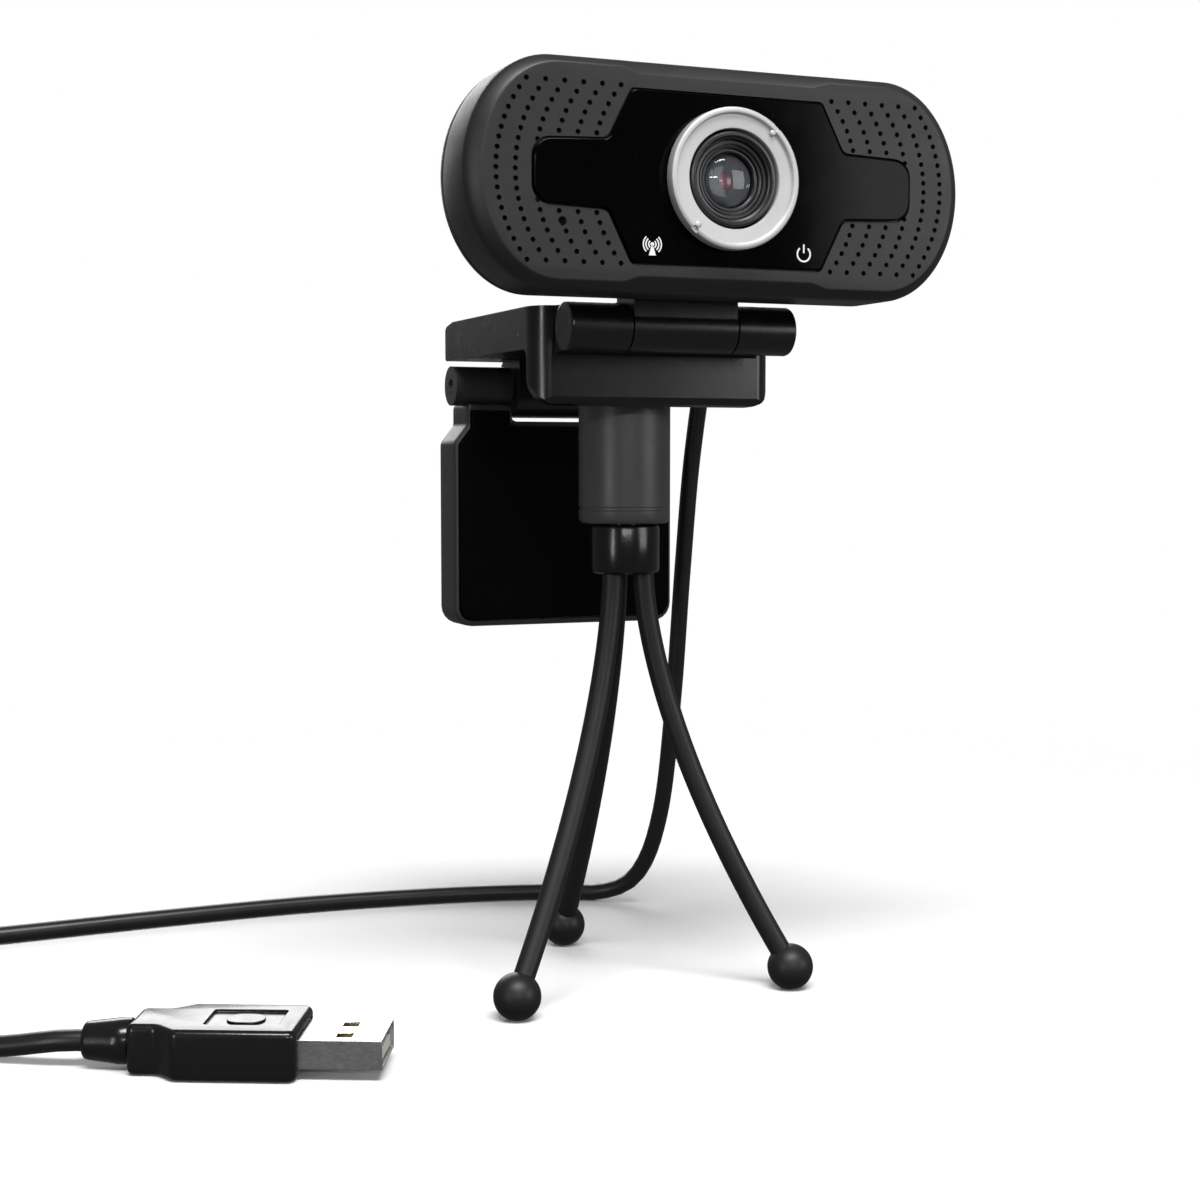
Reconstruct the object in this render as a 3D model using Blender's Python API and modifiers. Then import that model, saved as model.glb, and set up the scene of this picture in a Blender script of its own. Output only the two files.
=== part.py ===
"""Webcam on a mini tripod, built in Blender.

A wide camera head tilts on a barrel hinge at the front of a monitor clip.  The clip's flap hangs open
behind, and a mini tripod with three bendable legs is screwed into the clip's underside.  A USB lead
leaves the back of the head, lies in a coil on the table and ends in its plug.

Sizes are in millimetres and are scaled to metres as each mesh is made.  Positions are measured from
the middle of the head's front face: x to the right, y backwards, z up.  One empty moves the whole
object so that it stands on z = 0 with its middle over the origin.
"""

import math

import bmesh
import bpy
from mathutils import Vector

MM = 0.001
GAP = 0.3

# Head
HEAD_WIDTH = 86.0
HEAD_HEIGHT = 35.5
HEAD_END_REACH = 14.0
HEAD_CENTRE_HEIGHT = 138.0
FRONT_TO_CENTRE = 38.5
BEZEL_DEPTH = 12.0
SHELL_WALL = 1.8
PANEL_THICKNESS = 1.1

# Lens
RING_RADIUS = 11.0
RING_BORE = 7.75
BARREL_RADIUS = 7.4

# Tilt hinge
TILT_AXIS = (0.0, 19.0, -21.9)
TILT_BARREL_RADIUS = 4.1
TILT_BARREL_HALF = 20.4
NECK_HALF = 9.4

# Clip
CLIP_HALF = 22.3
ARM_TOP = -17.9
ARM_UNDERSIDE = -25.0
ARM_REAR = 75.6
LIP_FRONT = 27.2
LIP_REAR = 31.3
LIP_BOTTOM = -34.5
LIP_ROUNDING = 4.6

# Flap
FLAP_AXIS = (0.0, 73.3, -29.7)
FLAP_BARREL_RADIUS = 3.7
FLAP_FRONT = 70.1
FLAP_REAR = 79.8
FLAP_BOTTOM = -75.0
BRACKET_HALF = 10.4
BRACKET_RADIUS = 5.9

# Tripod
TRIPOD_Y = 41.5
COLLAR_RADIUS = 8.15
STEM_RADIUS = 6.25
STEM_BOTTOM = -63.7
SOCKET_OFFSET = 3.4
LEG_RADIUS = 1.9
FOOT_RADIUS = 4.1
FOOT_REACH = 26.6
LEG_AZIMUTHS = (210.0, 330.0, 90.0)

# Lead and plug
CORD_RADIUS = 1.7
FLOOR = -HEAD_CENTRE_HEIGHT
GLAND_X = 27.0
COIL_CENTRE = (-134.0, 88.0)
COIL_MEAN_RADIUS = 18.7
COIL_HALF_WIDTH = 6.8
COIL_HEIGHT = 10.4
PLUG_REAR = (-97.0, 28.0)
PLUG_TURN = -25.0
PLUG_AXIS_HEIGHT = 4.1


# ------------------------------------------------------------------ scene, collections and materials

for old in list(bpy.data.objects):
    bpy.data.objects.remove(old, do_unlink=True)

PARTS = bpy.data.collections.new("webcam_on_tripod")
CUTTERS = bpy.data.collections.new("cutters")
bpy.context.scene.collection.children.link(PARTS)
bpy.context.scene.collection.children.link(CUTTERS)


def material(name, colour, roughness, metallic=0.0, alpha=1.0):
    made = bpy.data.materials.new(name)
    made.use_nodes = True
    shader = made.node_tree.nodes["Principled BSDF"]
    shader.inputs["Base Color"].default_value = (*colour, 1.0)
    shader.inputs["Roughness"].default_value = roughness
    shader.inputs["Metallic"].default_value = metallic
    shader.inputs["Alpha"].default_value = alpha
    made.diffuse_color = (*colour, alpha)
    return made


SHELL_BLACK = material("shell_black", (0.035, 0.035, 0.037), 0.5)
CLIP_BLACK = material("clip_black", (0.022, 0.022, 0.024), 0.42)
PANEL_GLOSS = material("panel_gloss", (0.006, 0.006, 0.007), 0.08)
ICON_WHITE = material("icon_white", (0.85, 0.85, 0.85), 0.45)
RING_SILVER = material("ring_silver", (0.72, 0.72, 0.73), 0.28, 1.0)
LENS_BLACK = material("lens_black", (0.012, 0.012, 0.013), 0.35)
LENS_GLASS = material("lens_glass", (0.75, 0.8, 0.86), 0.02, 0.0, 0.35)
IR_GLASS = material("ir_glass", (0.55, 0.09, 0.07), 0.05, 0.0, 0.6)
STEEL = material("steel", (0.62, 0.62, 0.63), 0.3, 1.0)
BRASS = material("brass", (0.72, 0.53, 0.25), 0.32, 1.0)
PAD_RUBBER = material("pad_rubber", (0.008, 0.008, 0.008), 0.85)
LEG_RUBBER = material("leg_rubber", (0.014, 0.014, 0.015), 0.6)
TRIPOD_GREY = material("tripod_grey", (0.09, 0.09, 0.095), 0.4)
BOARD_GREEN = material("board_green", (0.02, 0.13, 0.06), 0.45)
CHIP_BLACK = material("chip_black", (0.02, 0.02, 0.022), 0.4)
CONNECTOR_WHITE = material("connector_white", (0.78, 0.76, 0.7), 0.5)
MIC_METAL = material("mic_metal", (0.68, 0.66, 0.6), 0.35, 1.0)
CORD_BLACK = material("cord_black", (0.01, 0.01, 0.011), 0.35)
PLUG_BLACK = material("plug_black", (0.012, 0.012, 0.013), 0.4)
GOLD = material("gold", (0.83, 0.62, 0.25), 0.25, 1.0)


# ------------------------------------------------------------------ empties that carry the bodies


def body_axis(name, where, parent=None):
    empty = bpy.data.objects.new(name, None)
    empty.empty_display_size = 0.01
    PARTS.objects.link(empty)
    origin = Vector(where)
    if parent is not None:
        empty.parent = parent
        origin -= Vector(parent["origin"])
    empty["origin"] = where
    empty.location = origin * MM
    return empty


ROOT = bpy.data.objects.new("webcam_frame", None)
ROOT.empty_display_size = 0.02
PARTS.objects.link(ROOT)
ROOT["origin"] = (0.0, 0.0, 0.0)
ROOT.location = Vector((0.0, -FRONT_TO_CENTRE, HEAD_CENTRE_HEIGHT)) * MM

TILT = body_axis("tilt_axis", TILT_AXIS, ROOT)
FOCUS = body_axis("focus_axis", (0.0, 0.0, 0.0), TILT)
LENS = body_axis("lens_axis", (0.0, 0.0, 0.0), TILT)
FLAP = body_axis("flap_axis", FLAP_AXIS, ROOT)
PAN = body_axis("pan_axis", (0.0, TRIPOD_Y, ARM_UNDERSIDE), ROOT)


# ------------------------------------------------------------------ shape helpers


def finish(name, mesh, look, body, where, turn=(0.0, 0.0, 0.0), sharp=30.0):
    """Link a mesh as a named part of one body, at a place measured from the head's front."""
    part = bpy.data.objects.new(name, mesh)
    PARTS.objects.link(part)
    if look is not None:
        mesh.materials.append(look)
    part.parent = body
    part.location = (Vector(where) - Vector(body["origin"])) * MM
    part.rotation_euler = [math.radians(angle) for angle in turn]
    if len(mesh.polygons):
        mesh.shade_smooth()
        mesh.set_sharp_from_angle(angle=math.radians(sharp))
    return part


def as_cutter(part):
    """Hide a shape that only cuts or joins another."""
    PARTS.objects.unlink(part)
    CUTTERS.objects.link(part)
    part.hide_render = True
    part.display_type = "WIRE"
    return part


def boolean(part, tool, operation):
    step = part.modifiers.new(operation.lower(), "BOOLEAN")
    step.operation = operation
    step.solver = "EXACT"
    step.object = as_cutter(tool)
    return part


def cut(part, *tools):
    for tool in tools:
        boolean(part, tool, "DIFFERENCE")
    return part


def join(part, *tools):
    for tool in tools:
        boolean(part, tool, "UNION")
    return part


def bevel(part, width, segments=2, angle=40.0):
    step = part.modifiers.new("bevel", "BEVEL")
    step.width = width * MM
    step.segments = segments
    step.limit_method = "ANGLE"
    step.angle_limit = math.radians(angle)
    return part


def box(name, size, look, body, where, turn=(0.0, 0.0, 0.0)):
    shape = bmesh.new()
    bmesh.ops.create_cube(shape, size=1.0)
    bmesh.ops.scale(shape, vec=Vector(size) * MM, verts=shape.verts)
    mesh = bpy.data.meshes.new(name)
    shape.to_mesh(mesh)
    shape.free()
    return finish(name, mesh, look, body, where, turn)


def cylinder(name, radius, length, look, body, where, turn=(0.0, 0.0, 0.0), sides=32, top_radius=None):
    shape = bmesh.new()
    end = radius if top_radius is None else top_radius
    bmesh.ops.create_cone(
        shape, cap_ends=True, segments=sides, radius1=radius * MM, radius2=end * MM, depth=length * MM
    )
    mesh = bpy.data.meshes.new(name)
    shape.to_mesh(mesh)
    shape.free()
    return finish(name, mesh, look, body, where, turn)


def turned(name, profile, look, body, where, turn=(0.0, 0.0, 0.0), sides=40, closed=False):
    """Spin a profile of (radius, height) points, listed down its outer side, around local Z."""
    mesh = bpy.data.meshes.new(name)
    shape = bmesh.new()
    points = [shape.verts.new((radius * MM, 0.0, height * MM)) for radius, height in profile]
    for start, end in zip(points, points[1:]):
        shape.edges.new((start, end))
    if closed:
        shape.edges.new((points[-1], points[0]))
    shape.to_mesh(mesh)
    shape.free()
    part = finish(name, mesh, look, body, where, turn)
    spin = part.modifiers.new("spin", "SCREW")
    spin.axis = "Z"
    spin.angle = math.radians(360.0)
    spin.steps = sides
    spin.render_steps = sides
    spin.use_merge_vertices = True
    spin.merge_threshold = 0.000005
    spin.use_smooth_shade = True
    return part


def curve_to_mesh(guide):
    """Make a closed mesh from a curve, with its loose caps welded on."""
    view = bpy.context.evaluated_depsgraph_get()
    view.update()
    mesh = bpy.data.meshes.new_from_object(guide.evaluated_get(view))
    data = guide.data
    bpy.data.objects.remove(guide, do_unlink=True)
    bpy.data.curves.remove(data)
    shape = bmesh.new()
    shape.from_mesh(mesh)
    bmesh.ops.remove_doubles(shape, verts=shape.verts, dist=0.000002)
    bmesh.ops.dissolve_limit(shape, angle_limit=0.005, verts=shape.verts, edges=shape.edges)
    bmesh.ops.recalc_face_normals(shape, faces=shape.faces)
    shape.to_mesh(mesh)
    shape.free()
    mesh.materials.clear()
    return mesh


def plate(name, outline, thickness, look, body, where, turn=(0.0, 0.0, 0.0)):
    """Extrude a flat outline equally to both sides of its own plane."""
    data = bpy.data.curves.new(name, "CURVE")
    data.dimensions = "2D"
    data.fill_mode = "BOTH"
    data.extrude = thickness / 2.0 * MM
    line = data.splines.new("POLY")
    line.points.add(len(outline) - 1)
    for point, (across, up) in zip(line.points, outline):
        point.co = (across * MM, up * MM, 0.0, 1.0)
    line.use_cyclic_u = True
    guide = bpy.data.objects.new(name + "_outline", data)
    PARTS.objects.link(guide)
    return finish(name, curve_to_mesh(guide), look, body, where, turn)


def smooth_route(corners, spacing):
    """Read even points from the smooth curve that passes through the route's own points."""
    knots = [Vector(corner) for corner in corners]
    knots = [knots[0] * 2 - knots[1], *knots, knots[-1] * 2 - knots[-2]]
    fine = []
    for before, start, end, after in zip(knots, knots[1:], knots[2:], knots[3:]):
        for step in range(40):
            t = step / 40.0
            fine.append(
                0.5
                * (
                    2 * start
                    + (end - before) * t
                    + (2 * before - 5 * start + 4 * end - after) * t * t
                    + (3 * start - before - 3 * end + after) * t * t * t
                )
            )
    fine.append(knots[-2])
    lengths = [0.0]
    for start, end in zip(fine, fine[1:]):
        lengths.append(lengths[-1] + (end - start).length)
    count = max(2, round(lengths[-1] / spacing))
    even = []
    index = 0
    for step in range(count + 1):
        target = lengths[-1] * step / count
        while index < len(fine) - 2 and lengths[index + 1] < target:
            index += 1
        share = (target - lengths[index]) / max(lengths[index + 1] - lengths[index], 1e-9)
        even.append(fine[index].lerp(fine[index + 1], min(max(share, 0.0), 1.0)))
    return even


def rod(name, points, radius, look, body, where, turn=(0.0, 0.0, 0.0)):
    """A round rod or cord along a list of points, as a bevelled curve with filled caps."""
    data = bpy.data.curves.new(name, "CURVE")
    data.dimensions = "3D"
    data.bevel_depth = radius * MM
    data.bevel_resolution = 2
    data.use_fill_caps = True
    line = data.splines.new("POLY")
    line.points.add(len(points) - 1)
    for point, place in zip(line.points, points):
        point.co = (*(Vector(place) * MM), 1.0)
    data.materials.append(look)
    part = bpy.data.objects.new(name, data)
    PARTS.objects.link(part)
    part.parent = body
    part.location = (Vector(where) - Vector(body["origin"])) * MM
    part.rotation_euler = [math.radians(angle) for angle in turn]
    return part


def loft(name, rings, look, body, where):
    """Skin matching rings of points, the first and last of them capped."""
    shape = bmesh.new()
    rows = [[shape.verts.new(Vector(point) * MM) for point in ring] for ring in rings]
    count = len(rows[0])
    for front, back in zip(rows, rows[1:]):
        for index in range(count):
            after = (index + 1) % count
            shape.faces.new((front[index], front[after], back[after], back[index]))
    shape.faces.new(list(reversed(rows[0])))
    shape.faces.new(rows[-1])
    bmesh.ops.recalc_face_normals(shape, faces=shape.faces)
    mesh = bpy.data.meshes.new(name)
    shape.to_mesh(mesh)
    shape.free()
    return finish(name, mesh, look, body, where)


def rounded(corners, radii, steps=5):
    """Round the corners of a flat outline given anticlockwise or clockwise."""
    outline = []
    count = len(corners)
    for index, (corner, radius) in enumerate(zip(corners, radii)):
        here = Vector(corner)
        before = (Vector(corners[index - 1]) - here).normalized()
        after = (Vector(corners[(index + 1) % count]) - here).normalized()
        if radius <= 0.0:
            outline.append(tuple(here))
            continue
        half = before.angle(after) / 2.0
        reach = radius / math.tan(half)
        middle = here + (before + after).normalized() * (radius / math.sin(half))
        start = here + before * reach - middle
        end = here + after * reach - middle
        for step in range(steps + 1):
            share = step / steps
            arm = start.normalized().slerp(end.normalized(), share) * radius
            outline.append(tuple(middle + arm))
    return outline


def arc(centre, radius, start, end, steps):
    return [
        (
            centre[0] + radius * math.cos(math.radians(start + (end - start) * step / steps)),
            centre[1] + radius * math.sin(math.radians(start + (end - start) * step / steps)),
        )
        for step in range(steps + 1)
    ]


def head_outline(inset, middle_inset=None):
    """The head's rounded outline, as (x, z), anticlockwise from the middle of its right end."""
    half_width = HEAD_WIDTH / 2.0 - inset
    half_height = HEAD_HEIGHT / 2.0 - inset
    middle_height = HEAD_HEIGHT / 2.0 - (inset if middle_inset is None else middle_inset)
    reach = HEAD_END_REACH - inset * 0.6
    shoulder = half_width - reach
    quarter = []
    for step in range(10):
        angle = math.radians(90.0 * step / 10.0)
        quarter.append((shoulder + reach * math.cos(angle), half_height * math.sin(angle)))
    quarter.append((shoulder, half_height))
    quarter.append((17.8, half_height))
    quarter.append((15.0, middle_height))
    top = quarter + [(-x, z) for x, z in reversed(quarter)]
    bottom = [(-x, -z) for x, z in top[1:-1]]
    return top + bottom


def at_depth(outline, depth):
    return [(x, depth, z) for x, z in outline]


FACING_FRONT = (90.0, 0.0, 0.0)
FACING_RIGHT = (0.0, 90.0, 0.0)


# ------------------------------------------------------------------ head: front bezel and rear shell

bezel = loft(
    "head_front_bezel",
    [
        at_depth(head_outline(2.0, 2.6), 0.0),
        at_depth(head_outline(0.5), 1.3),
        at_depth(head_outline(0.0), 2.2),
        at_depth(head_outline(0.0), BEZEL_DEPTH),
    ],
    SHELL_BLACK,
    TILT,
    (0.0, 0.0, 0.0),
)
bezel_room = loft(
    "bezel_room",
    [at_depth(head_outline(SHELL_WALL + 1.0), 2.2), at_depth(head_outline(SHELL_WALL), BEZEL_DEPTH + 1.0)],
    None,
    TILT,
    (0.0, 0.0, 0.0),
)

PANEL_CORNERS = [
    (16.3, -13.3),
    (20.3, -5.2),
    (32.6, -4.7),
    (32.6, 4.7),
    (20.3, 5.2),
    (16.3, 13.0),
    (-16.3, 13.0),
    (-20.3, 5.2),
    (-32.6, 4.7),
    (-32.6, -4.7),
    (-20.3, -5.2),
    (-16.3, -13.3),
]
PANEL_ROUNDING = [1.0, 1.4, 3.0, 3.0, 1.4, 1.0, 1.0, 1.4, 3.0, 3.0, 1.4, 1.0]


def panel_outline(grow):
    """The dark panel's outline: a wide middle with a narrower rounded arm at each side."""
    grown = []
    for x, z in PANEL_CORNERS:
        grown.append((x + math.copysign(grow, x), z + math.copysign(grow, z)))
    return rounded(grown, PANEL_ROUNDING, 4)


panel_recess = plate(
    "panel_recess", panel_outline(GAP), 3.0, None, TILT, (0.0, -1.5 + PANEL_THICKNESS, 0.0), FACING_FRONT
)
lens_opening = cylinder("lens_opening", 10.4, 8.0, None, TILT, (0.0, 2.0, 0.0), FACING_FRONT, 40)
MIC_X = -27.9
MIC_Z = -7.5
mic_opening = cylinder("mic_opening", 0.7, 8.0, None, TILT, (MIC_X, 2.0, MIC_Z), FACING_FRONT, 12)
cut(bezel, bezel_room, panel_recess, lens_opening, mic_opening)

rear = loft(
    "head_rear_shell",
    [
        at_depth(head_outline(0.0), BEZEL_DEPTH + GAP),
        at_depth(head_outline(0.4), 14.0),
        at_depth(head_outline(2.5), 19.0),
        at_depth(head_outline(5.5), 22.8),
        at_depth(head_outline(8.5), 24.5),
    ],
    SHELL_BLACK,
    TILT,
    (0.0, 0.0, 0.0),
)
rear_room = loft(
    "rear_room",
    [
        at_depth(head_outline(SHELL_WALL), 11.0),
        at_depth(head_outline(SHELL_WALL + 0.4), 14.0),
        at_depth(head_outline(SHELL_WALL + 2.7), 18.6),
        at_depth(head_outline(SHELL_WALL + 6.5), 22.7),
    ],
    None,
    TILT,
    (0.0, 0.0, 0.0),
)
neck_pocket = box("neck_pocket", (19.4, 8.0, 6.0), None, TILT, (0.0, 19.0, -17.3))
gland_hole = cylinder("gland_hole", 3.0, 6.0, None, TILT, (GLAND_X, 23.0, -3.0), FACING_FRONT, 24)
cut(rear, rear_room, neck_pocket, gland_hole)
SCREW_PLACES = [(-24.0, 6.4), (24.0, 6.4), (-24.0, -6.4), (15.0, -6.4)]
for number, (x, z) in enumerate(SCREW_PLACES, 1):
    cut(rear, cylinder(f"rear_screw_hole_{number}", 1.8, 6.0, None, TILT, (x, 23.6, z), FACING_FRONT, 20))

front_panel = plate(
    "face_panel",
    panel_outline(0.0),
    PANEL_THICKNESS,
    PANEL_GLOSS,
    TILT,
    (0.0, PANEL_THICKNESS / 2.0 - GAP - 0.1, 0.0),
    FACING_FRONT,
)
ICON_X = 13.2
ICON_Z = -10.8
panel_bore = cylinder("panel_bore", RING_BORE + 0.35, 6.0, None, TILT, (0.0, 0.0, 0.0), FACING_FRONT, 40)
left_window = cylinder("left_window", 1.75, 6.0, None, TILT, (-ICON_X, 0.0, ICON_Z), FACING_FRONT, 20)
right_window = cylinder("right_window", 1.75, 6.0, None, TILT, (ICON_X, 0.0, ICON_Z), FACING_FRONT, 20)
cut(front_panel, panel_bore, left_window, right_window)
cylinder("icon_light_left", 1.45, 1.0, ICON_WHITE, TILT, (-ICON_X, 0.2, ICON_Z), FACING_FRONT, 20)
cylinder("icon_light_right", 1.45, 1.0, ICON_WHITE, TILT, (ICON_X, 0.2, ICON_Z), FACING_FRONT, 20)

# ------------------------------------------------------------------ lens, focus ring and board

ring = turned(
    "focus_ring",
    [
        (RING_BORE, 1.9),
        (8.5, 2.0),
        (9.8, 2.6),
        (10.1, 3.0),
        (10.7, 3.0),
        (RING_RADIUS, 2.7),
        (RING_RADIUS, 0.9),
        (10.8, 0.7),
        (RING_BORE, 0.7),
    ],
    RING_SILVER,
    FOCUS,
    (0.0, 0.0, 0.0),
    FACING_FRONT,
    48,
    True,
)
for number, angle in enumerate((49.0, 229.0), 1):
    nub_x = 10.2 * math.cos(math.radians(angle))
    nub_z = 10.2 * math.sin(math.radians(angle))
    notch = cylinder(f"ring_notch_{number}", 0.55, 1.4, None, FOCUS, (nub_x, -2.9, nub_z), FACING_FRONT, 12)
    cut(ring, notch)

turned(
    "lens_barrel",
    [
        (6.7, 2.2),
        (7.1, 2.2),
        (BARREL_RADIUS, 1.9),
        (BARREL_RADIUS, -4.0),
        (6.2, -4.6),
        (6.2, -9.0),
        (3.9, -9.0),
        (3.9, -1.1),
        (4.4, -0.9),
        (4.4, 0.2),
        (5.3, 0.9),
        (6.1, 1.0),
        (6.3, 1.7),
    ],
    LENS_BLACK,
    LENS,
    (0.0, 0.0, 0.0),
    FACING_FRONT,
    40,
    True,
)
front_dome = [(4.05 * math.sin(math.radians(a)), 1.3 * math.cos(math.radians(a)) - 0.5) for a in range(0, 90, 15)]
turned(
    "lens_front_glass",
    [*front_dome, (4.05, -0.6), (0.0, -0.6)],
    LENS_GLASS,
    LENS,
    (0.0, 0.0, 0.0),
    FACING_FRONT,
    32,
)
cylinder("lens_rear_glass", 3.5, 1.2, LENS_GLASS, LENS, (0.0, 4.2, 0.0), FACING_FRONT, 28)
cylinder("ir_filter", 3.5, 0.5, IR_GLASS, LENS, (0.0, 7.6, 0.0), FACING_FRONT, 28)
turned(
    "lens_mount",
    [(9.6, -3.6), (9.6, -13.2), (6.55, -13.2), (6.55, -5.0), (7.75, -4.4), (7.75, -3.6)],
    LENS_BLACK,
    TILT,
    (0.0, 0.0, 0.0),
    FACING_FRONT,
    36,
    True,
)
box("image_sensor", (7.6, 0.9, 6.4), CHIP_BLACK, TILT, (0.0, 12.75, 0.0))
board = box("main_board", (62.0, 1.2, 21.0), BOARD_GREEN, TILT, (0.0, 14.1, 0.5))
cut(board, cylinder("board_hole", 1.2, 4.0, None, TILT, (-28.0, 14.1, 8.0), FACING_FRONT, 16))
box("video_chip", (9.0, 1.2, 9.0), CHIP_BLACK, TILT, (-12.0, 15.6, 0.5))
box("board_connector", (10.0, 3.0, 4.5), CONNECTOR_WHITE, TILT, (12.0, 16.5, 0.0))
cylinder("microphone", 2.3, 2.2, MIC_METAL, TILT, (MIC_X, 3.7, MIC_Z), FACING_FRONT, 24)

for number, (x, z) in enumerate(SCREW_PLACES, 1):
    screw = turned(
        f"head_screw_{number}",
        [(0.0, 0.8), (1.0, 0.7), (1.45, 0.3), (1.45, 0.0), (0.75, 0.0), (0.75, -4.0), (0.0, -4.6)],
        STEEL,
        TILT,
        (x, 22.8, z),
        (-90.0, 0.0, 0.0),
        16,
    )

# ------------------------------------------------------------------ neck and tilt hinge

neck = box("neck", (2 * NECK_HALF, 7.4, 7.3), CLIP_BLACK, TILT, (0.0, 19.0, -18.25))
knuckle = cylinder(
    "neck_knuckle", TILT_BARREL_RADIUS, 2 * NECK_HALF, None, TILT, TILT_AXIS, FACING_RIGHT, 40
)
neck_bore = cylinder("neck_bore", 1.55, 30.0, None, TILT, TILT_AXIS, FACING_RIGHT, 24)
cut(join(neck, knuckle), neck_bore)
cylinder("tilt_pin", 1.5, 38.0, STEEL, ROOT, TILT_AXIS, FACING_RIGHT, 24)

# ------------------------------------------------------------------ clip: arm, lip and hinge knuckles

ARM_PROFILE = [
    (20.2, ARM_TOP),
    (21.5, -19.2),
    (22.6, -22.5),
    (24.4, -25.2),
    (LIP_FRONT, -26.0),
    (LIP_FRONT, -33.0),
    (28.2, -34.2),
    (29.3, LIP_BOTTOM),
    (LIP_REAR - 1.0, LIP_BOTTOM),
    (LIP_REAR, LIP_BOTTOM + 1.0),
    (LIP_REAR, ARM_UNDERSIDE - 1.4),
    (LIP_REAR + 0.4, ARM_UNDERSIDE - 0.4),
    (LIP_REAR + 1.4, ARM_UNDERSIDE),
    (ARM_REAR - 0.5, ARM_UNDERSIDE),
    (ARM_REAR, ARM_UNDERSIDE + 0.5),
    (ARM_REAR, -19.3),
    (ARM_REAR - 0.7, -18.6),
    (71.0, ARM_TOP),
]


def side_profile(points):
    """Turn (y, z) points into the flat outline of a plate that faces right."""
    return [(-z, y) for y, z in points]


clip = plate(
    "clip_body", side_profile(ARM_PROFILE), 2 * CLIP_HALF, CLIP_BLACK, ROOT, (0.0, 0.0, 0.0), FACING_RIGHT
)
for side in (-1.0, 1.0):
    corner = [
        (side * (CLIP_HALF + 2.0), 18.0),
        (side * (CLIP_HALF + 2.0), 33.0),
        (side * CLIP_HALF, 31.2),
        (side * (CLIP_HALF - 0.35), 29.6),
        (side * (CLIP_HALF - 1.2), 28.3),
        (side * (CLIP_HALF - 2.3), 27.5),
        (side * (CLIP_HALF - 3.6), 27.1),
        (side * (CLIP_HALF - 4.6), 24.0),
        (side * (CLIP_HALF - 5.0), 18.0),
    ]
    name = "left_corner_trim" if side < 0 else "right_corner_trim"
    cut(clip, plate(name, corner, 40.0, None, ROOT, (0.0, 0.0, -26.0)))
    turn = (0.0, -90.0) if side > 0 else (180.0, 270.0)
    lip_corner = [
        (side * (CLIP_HALF + 2.0), LIP_BOTTOM - 2.0),
        (side * (CLIP_HALF + 2.0), LIP_BOTTOM + LIP_ROUNDING),
        *arc((side * (CLIP_HALF - LIP_ROUNDING), LIP_BOTTOM + LIP_ROUNDING), LIP_ROUNDING, *turn, 6),
        (side * (CLIP_HALF - LIP_ROUNDING), LIP_BOTTOM - 2.0),
    ]
    name = "left_lip_corner" if side < 0 else "right_lip_corner"
    cut(clip, plate(name, lip_corner, 14.0, None, ROOT, (0.0, 27.0, 0.0), FACING_FRONT))

side_barrels = cylinder(
    "side_barrels", TILT_BARREL_RADIUS, 2 * TILT_BARREL_HALF, None, ROOT, TILT_AXIS, FACING_RIGHT, 40
)
bevel(side_barrels, 0.5, 2)
bracket = cylinder(
    "bracket_round", BRACKET_RADIUS, 2 * BRACKET_HALF, None, ROOT, FLAP_AXIS, FACING_RIGHT, 40
)
bracket_web = box("bracket_web", (2 * BRACKET_HALF, 8.2, 6.0), None, ROOT, (0.0, 71.5, -27.4))
join(clip, side_barrels, bracket, bracket_web)
neck_room = cylinder(
    "neck_room", TILT_BARREL_RADIUS + 0.4, 2 * NECK_HALF + 0.6, None, ROOT, TILT_AXIS, FACING_RIGHT, 40
)
neck_swing = box("neck_swing", (2 * NECK_HALF + 0.6, 12.0, 8.0), None, ROOT, (0.0, 18.4, -16.8))
pin_room = cylinder("pin_room", 1.8, 38.6, None, ROOT, TILT_AXIS, FACING_RIGHT, 24)
flap_pin_room = cylinder("flap_pin_room", 1.6, 30.0, None, ROOT, FLAP_AXIS, FACING_RIGHT, 24)
insert_room = cylinder("insert_room", 4.9, 7.0, None, ROOT, (0.0, TRIPOD_Y, -23.1), sides=32)
cover_room = box("cover_room", (30.6, 14.6, 3.9), None, ROOT, (0.0, 57.5, -24.55))
cut(clip, neck_room, neck_swing, pin_room, flap_pin_room, insert_room, cover_room)

cover = box("clip_cover", (30.0, 14.0, 1.6), CLIP_BLACK, ROOT, (0.0, 57.5, -24.1))
for number, x in enumerate((-12.0, 12.0), 1):
    cut(cover, cylinder(f"cover_hole_{number}", 1.1, 4.0, None, ROOT, (x, 57.5, -24.1), sides=16))
    cylinder(f"cover_screw_{number}", 0.8, 1.6, STEEL, ROOT, (x, 57.5, -24.1), sides=16)
turned(
    "thread_insert",
    [(4.6, -20.0), (4.6, -24.8), (3.35, -24.8), (3.35, -20.0)],
    BRASS,
    ROOT,
    (0.0, TRIPOD_Y, 0.0),
    sides=32,
    closed=True,
)
lip_pad = box("lip_pad", (38.0, 1.0, 6.0), PAD_RUBBER, ROOT, (0.0, LIP_REAR + GAP + 0.5, -30.4))
bevel(lip_pad, 0.3, 1)

# ------------------------------------------------------------------ flap, its pad and its hinge pin

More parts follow.
